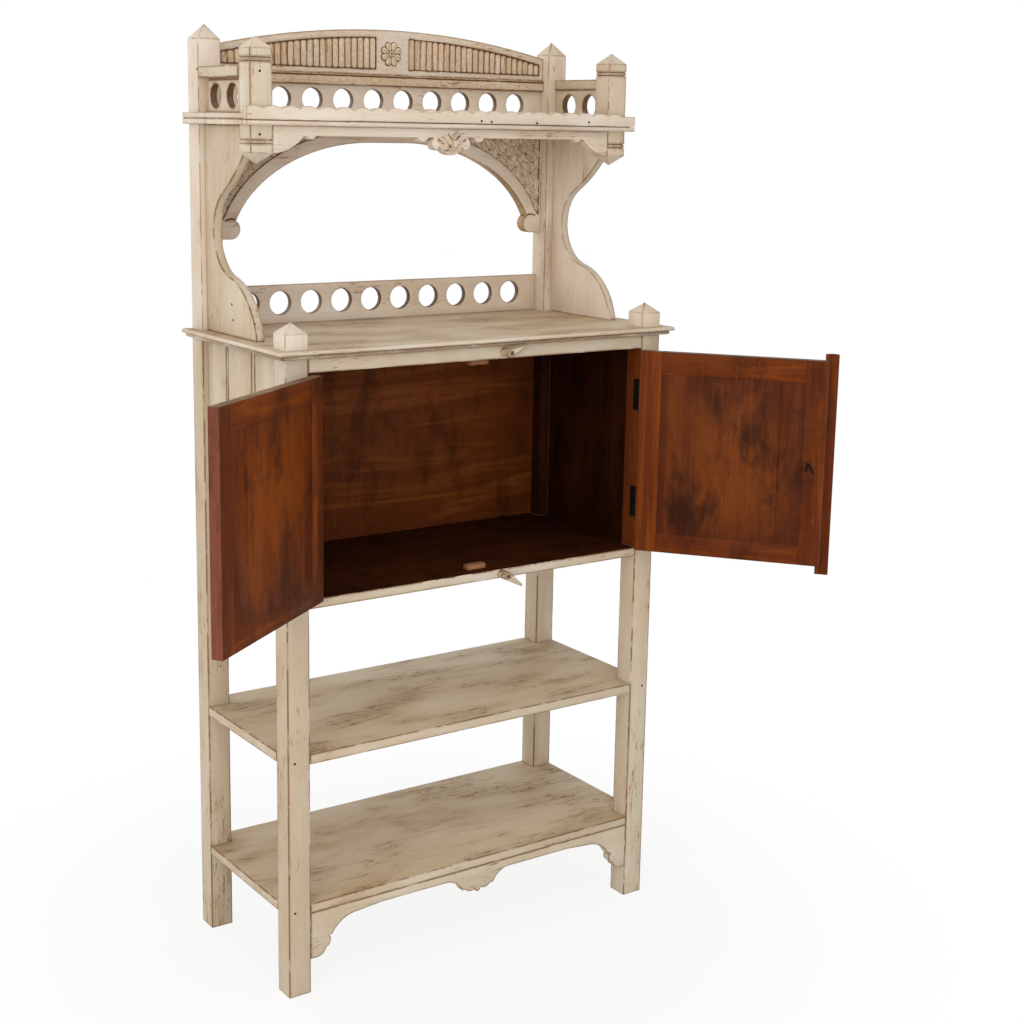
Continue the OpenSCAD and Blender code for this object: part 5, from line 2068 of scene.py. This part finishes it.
@dataclass
class Hinges(Assembly):
    """Butt hinges of one door, with the screws in their leaves."""

    side: Side = Side.LEFT
    levels: tuple[float, float] = (818 * MM, 1027 * MM)
    leaf_face: float = 355.8 * MM
    leaf_middle: float = -172 * MM
    screw_rows: tuple[tuple[float, float], ...] = ((-3 * MM, -22 * MM), (4 * MM, 0.0), (-3 * MM, 22 * MM))
    screw_radius: float = 3.2 * MM
    screw_rise: float = 0.2 * MM

    def build(self) -> None:
        """Finishes the leaves and pins and drives the screws."""
        for part in ("post_leaves", "door_leaves", "hinge_pins"):
            node = frame["nodes"][f"{self.side.word()}_{part}"]
            node.material_slots[0].material = self.finishes.iron
        self.screws()

    def screws(self) -> None:
        """Sets the screws in the post's leaves, where the open door shows them."""
        word = self.side.word()
        heads = []
        pattern = screw_head("leaf_screw", self.screw_radius, self.screw_rise)
        turn = Matrix.Rotation(-self.side.value * math.pi / 2, 4, "Y")
        for number, level in enumerate(self.levels):
            for row, (aside, above) in enumerate(self.screw_rows):
                at = (self.side.value * self.leaf_face, self.leaf_middle + aside, level + above)
                place = Matrix.Translation(at) @ turn
                heads.append(copy_piece(pattern, f"{word}_leaf_screw_{number}_{row}", place))
        drop(pattern)
        screws = join(heads[0], *heads[1:])
        screws.name = f"{word}_leaf_screws"
        self.ride_along(screws, self.finishes.iron, "carcass")


def screw_head(name: str, radius: float, rise: float) -> Piece:
    """Turns a domed screw head about Z and saws its slot.

    Args:
        name: Name of the head.
        radius: Radius of the head in metres.
        rise: Height of its crown.

    Returns:
        The head, standing on the origin.
    """
    r, h = radius / MM, rise / MM
    dome = ((r, 0.25 * h), (0.8 * r, 0.75 * h), (0.4 * r, 0.95 * h), (0, h))
    head = turned(name, ((0, -0.3), (r, -0.3), *dome), 20)
    half = 0.13 * radius
    slot = box_piece(f"{name}_slot", (-2 * radius, -half, 0.35 * rise), (2 * radius, half, 4 * rise))
    carve(head, slot)
    return head


@dataclass
class TurnButtons(Assembly):
    """The turn buttons of the rail and of the cabinet floor, with their spacers and screws."""

    screw_from: float = -204.3 * MM
    head_face: float = -206.3 * MM
    head_radius: float = 3.6 * MM
    head_rise: float = 0.9 * MM
    slot_turn: float = 0.7
    pivots: tuple[tuple[str, float, float], ...] = (
        ("top", 39 * MM, 1130.1 * MM), ("bottom", 41 * MM, 718.75 * MM),
    )

    def build(self) -> None:
        """Builds both turn buttons."""
        paint, rust = self.finishes.paint, self.finishes.rust
        screw = (rust, lambda normal, centre: centre.y < self.screw_from)
        for word, x, z in self.pivots:
            self.dress(f"{word}_pivot", paint, Axis.DEEP, screw, width=0.0)
            self.dress(f"{word}_button", paint, Axis.WIDE, width=1.4 * MM, segments=3)
            head = screw_head(f"{word}_button_screw", self.head_radius, self.head_rise)
            turn = Matrix.Rotation(self.slot_turn, 4, "Z")
            head.data.transform(facing_front(x, self.head_face, z) @ turn)
            self.ride_along(head, rust, "carcass")


@dataclass
class Nails(Assembly):
    """Nail heads that show in the painted boards, with their places in millimetres."""

    outline: tuple[tuple[float, float], ...] = ((0, -0.4), (2.0, -0.4), (2.1, 0.05), (1.5, 0.3), (0, 0.4))
    on_front: tuple[Point, ...] = (
        (-387, -181, 438), (-388, -181, 160), (387, -181, 440), (-388, -181, 719),
        (55.6, -72.5, 1535), (77.7, -72.5, 1534), (179, -72.5, 1533.2), (299.7, -72.5, 1537),
        (-379.3, -58.5, 1609), (-380.5, -58.5, 1505.6), (2.5, 156.4, 1656),
    )
    on_left: tuple[Point, ...] = (
        (-390, 36, 1213), (-390, 32.5, 1186), (-390, -52, 1188), (-400, 141.5, 1615),
    )

    def build(self) -> None:
        """Drives the nails."""
        pattern = turned("nail_head", self.outline, 12)
        turn = Matrix.Rotation(-math.pi / 2, 4, "Y")
        heads = [
            copy_piece(pattern, f"front_nail_{number}", facing_front(x * MM, y * MM, z * MM))
            for number, (x, y, z) in enumerate(self.on_front)
        ]
        heads += [
            copy_piece(pattern, f"left_nail_{number}", Matrix.Translation((x * MM, y * MM, z * MM)) @ turn)
            for number, (x, y, z) in enumerate(self.on_left)
        ]
        drop(pattern)
        nails = join(heads[0], *heads[1:])
        nails.name = "nail_heads"
        self.ride_along(nails, self.finishes.iron, "carcass")


# Studio


@dataclass
class Studio:
    """Floor, lamps, world and camera."""

    camera_at: Point = (-1.66853, -2.63009, 1.52422)
    yaw: float = 0.6143724
    pitch: float = -0.1928883
    roll: float = 0.0189105
    lens: float = 58.94
    sensor: float = 36.0
    shift: tuple[float, float] = (0.0004, -0.0554)
    ambient: float = 0.68
    shadow_to: float = 0.45
    white_from: float = 1.1
    lamps: tuple[tuple[str, Point, float, float, Colour], ...] = (
        ("key", (-4.2, -2.4, 1.6), 2.6, 76.0, (1.0, 0.94, 0.85)),
        ("top", (-0.9, -1.9, 3.6), 2.2, 22.0, (1.0, 0.94, 0.85)),
        ("fill", (0.3, -4.3, 1.5), 2.4, 25.0, (0.94, 0.97, 1.0)),
        ("back", (-1.4, 3.6, 2.6), 2.4, 34.0, (1.0, 1.0, 1.0)),
    )
    aim: Point = (0.0, 0.0, 0.85)

    def build(self) -> None:
        """Builds the studio."""
        self.floor()
        self.world()
        for name, place, size, power, colour in self.lamps:
            self.lamp(name, place, size, power, colour)
        self.camera()
        bpy.context.scene.view_settings.view_transform = "Standard"

    def seen(self, bench: Bench) -> Socket:
        """Tells the rays that see the background white.

        Args:
            bench: The bench of the floor or world.

        Returns:
            1 for rays from the camera and rays that show the background in gloss or glass.
        """
        path = bench.node("ShaderNodeLightPath").outputs
        rays = bench.most(path["Is Camera Ray"], path["Is Glossy Ray"])
        return bench.most(rays, path["Is Transmission Ray"])

    def floor(self) -> None:
        """Lays the pale floor, which shows white and keeps a faint shadow."""
        release()
        bpy.ops.mesh.primitive_plane_add(size=30, location=(0, 0, 0))
        floor = named("studio_floor")
        bench = Bench("studio_floor")
        plain = bench.node("ShaderNodeBsdfDiffuse")
        plain.inputs["Color"].default_value = (0.80, 0.79, 0.77, 1)
        white = bench.node("ShaderNodeEmission")
        white.inputs["Strength"].default_value = 1.0
        mix = bench.node("ShaderNodeMixShader")
        coords = bench.node("ShaderNodeTexCoord").outputs["Object"]
        reach = bench.vectors("LENGTH", coords)["Value"]
        whiteness = bench.window(reach, self.shadow_to, self.white_from, 0.86, 1.0)
        bench.feed(mix.inputs[0], bench.times(self.seen(bench), whiteness))
        bench.feed(mix.inputs[1], plain.outputs[0])
        bench.feed(mix.inputs[2], white.outputs[0])
        output = bench.node("ShaderNodeOutputMaterial")
        bench.feed(output.inputs["Surface"], mix.outputs[0])
        floor.data.materials.append(bench.material)

    def world(self) -> None:
        """Lights the room evenly and shows it white."""
        bench = Bench("studio_world", bpy.data.worlds)
        dim = bench.node("ShaderNodeBackground")
        dim.inputs["Strength"].default_value = self.ambient
        white = bench.node("ShaderNodeBackground")
        mix = bench.node("ShaderNodeMixShader")
        bench.feed(mix.inputs[0], self.seen(bench))
        bench.feed(mix.inputs[1], dim.outputs[0])
        bench.feed(mix.inputs[2], white.outputs[0])
        output = bench.node("ShaderNodeOutputWorld")
        bench.feed(output.inputs["Surface"], mix.outputs[0])
        for background in (dim, white):
            background.inputs["Color"].default_value = (1, 1, 1, 1)
        bpy.context.scene.world = bench.material

    def lamp(self, name: str, place: Point, size: float, power: float, colour: Colour) -> None:
        """Hangs a soft lamp that faces the sideboard.

        Args:
            name: Name of the lamp.
            place: Its place in metres.
            size: Side of its square.
            power: Power in watts.
            colour: Its colour.
        """
        light = bpy.data.lights.new(name, "AREA")
        light.shape = "SQUARE"
        light.size = size
        light.energy = power
        light.color = colour
        lamp = bpy.data.objects.new(name, light)
        way = Vector(self.aim) - Vector(place)
        lamp.matrix_world = Matrix.Translation(place) @ way.to_track_quat("-Z", "Y").to_matrix().to_4x4()
        bpy.context.scene.collection.objects.link(lamp)

    def camera(self) -> None:
        """Sets the camera where the photograph was taken from."""
        cosine = math.cos(self.pitch)
        forward = Vector((math.sin(self.yaw) * cosine, math.cos(self.yaw) * cosine, math.sin(self.pitch)))
        right = Vector((math.cos(self.yaw), -math.sin(self.yaw), 0))
        up = right.cross(forward)
        level = right * math.cos(self.roll) + up * math.sin(self.roll)
        upward = up * math.cos(self.roll) - right * math.sin(self.roll)
        lens = bpy.data.cameras.new("camera")
        lens.lens = self.lens
        lens.sensor_width = self.sensor
        lens.shift_x, lens.shift_y = self.shift
        lens.clip_end = 100
        camera = bpy.data.objects.new("camera", lens)
        turn = Matrix((level, upward, -forward)).transposed().to_4x4()
        camera.matrix_world = Matrix.Translation(self.camera_at) @ turn
        bpy.context.scene.collection.objects.link(camera)
        bpy.context.scene.camera = camera


def main() -> None:
    """Builds the sideboard's looks, sub-assembly by sub-assembly."""
    logging.basicConfig(level=logging.INFO, format="%(message)s")
    finishes = Finishes.mixed()
    assemblies = (
        Stand(finishes, seed=100),
        Cabinet(finishes, seed=200),
        Hutch(finishes, seed=300),
        Crown(finishes, seed=500),
        Door(finishes, seed=700, side=Side.LEFT),
        Door(finishes, seed=750, side=Side.RIGHT),
        Hinges(finishes, seed=800, side=Side.LEFT),
        Hinges(finishes, seed=820, side=Side.RIGHT),
        TurnButtons(finishes, seed=840),
        Nails(finishes, seed=860),
    )
    for assembly in assemblies:
        assembly.build()
        log.info("%s: %d pieces", type(assembly).__name__, len(assembly.pieces))
    Studio().build()


if __name__ == "__main__":
    main()
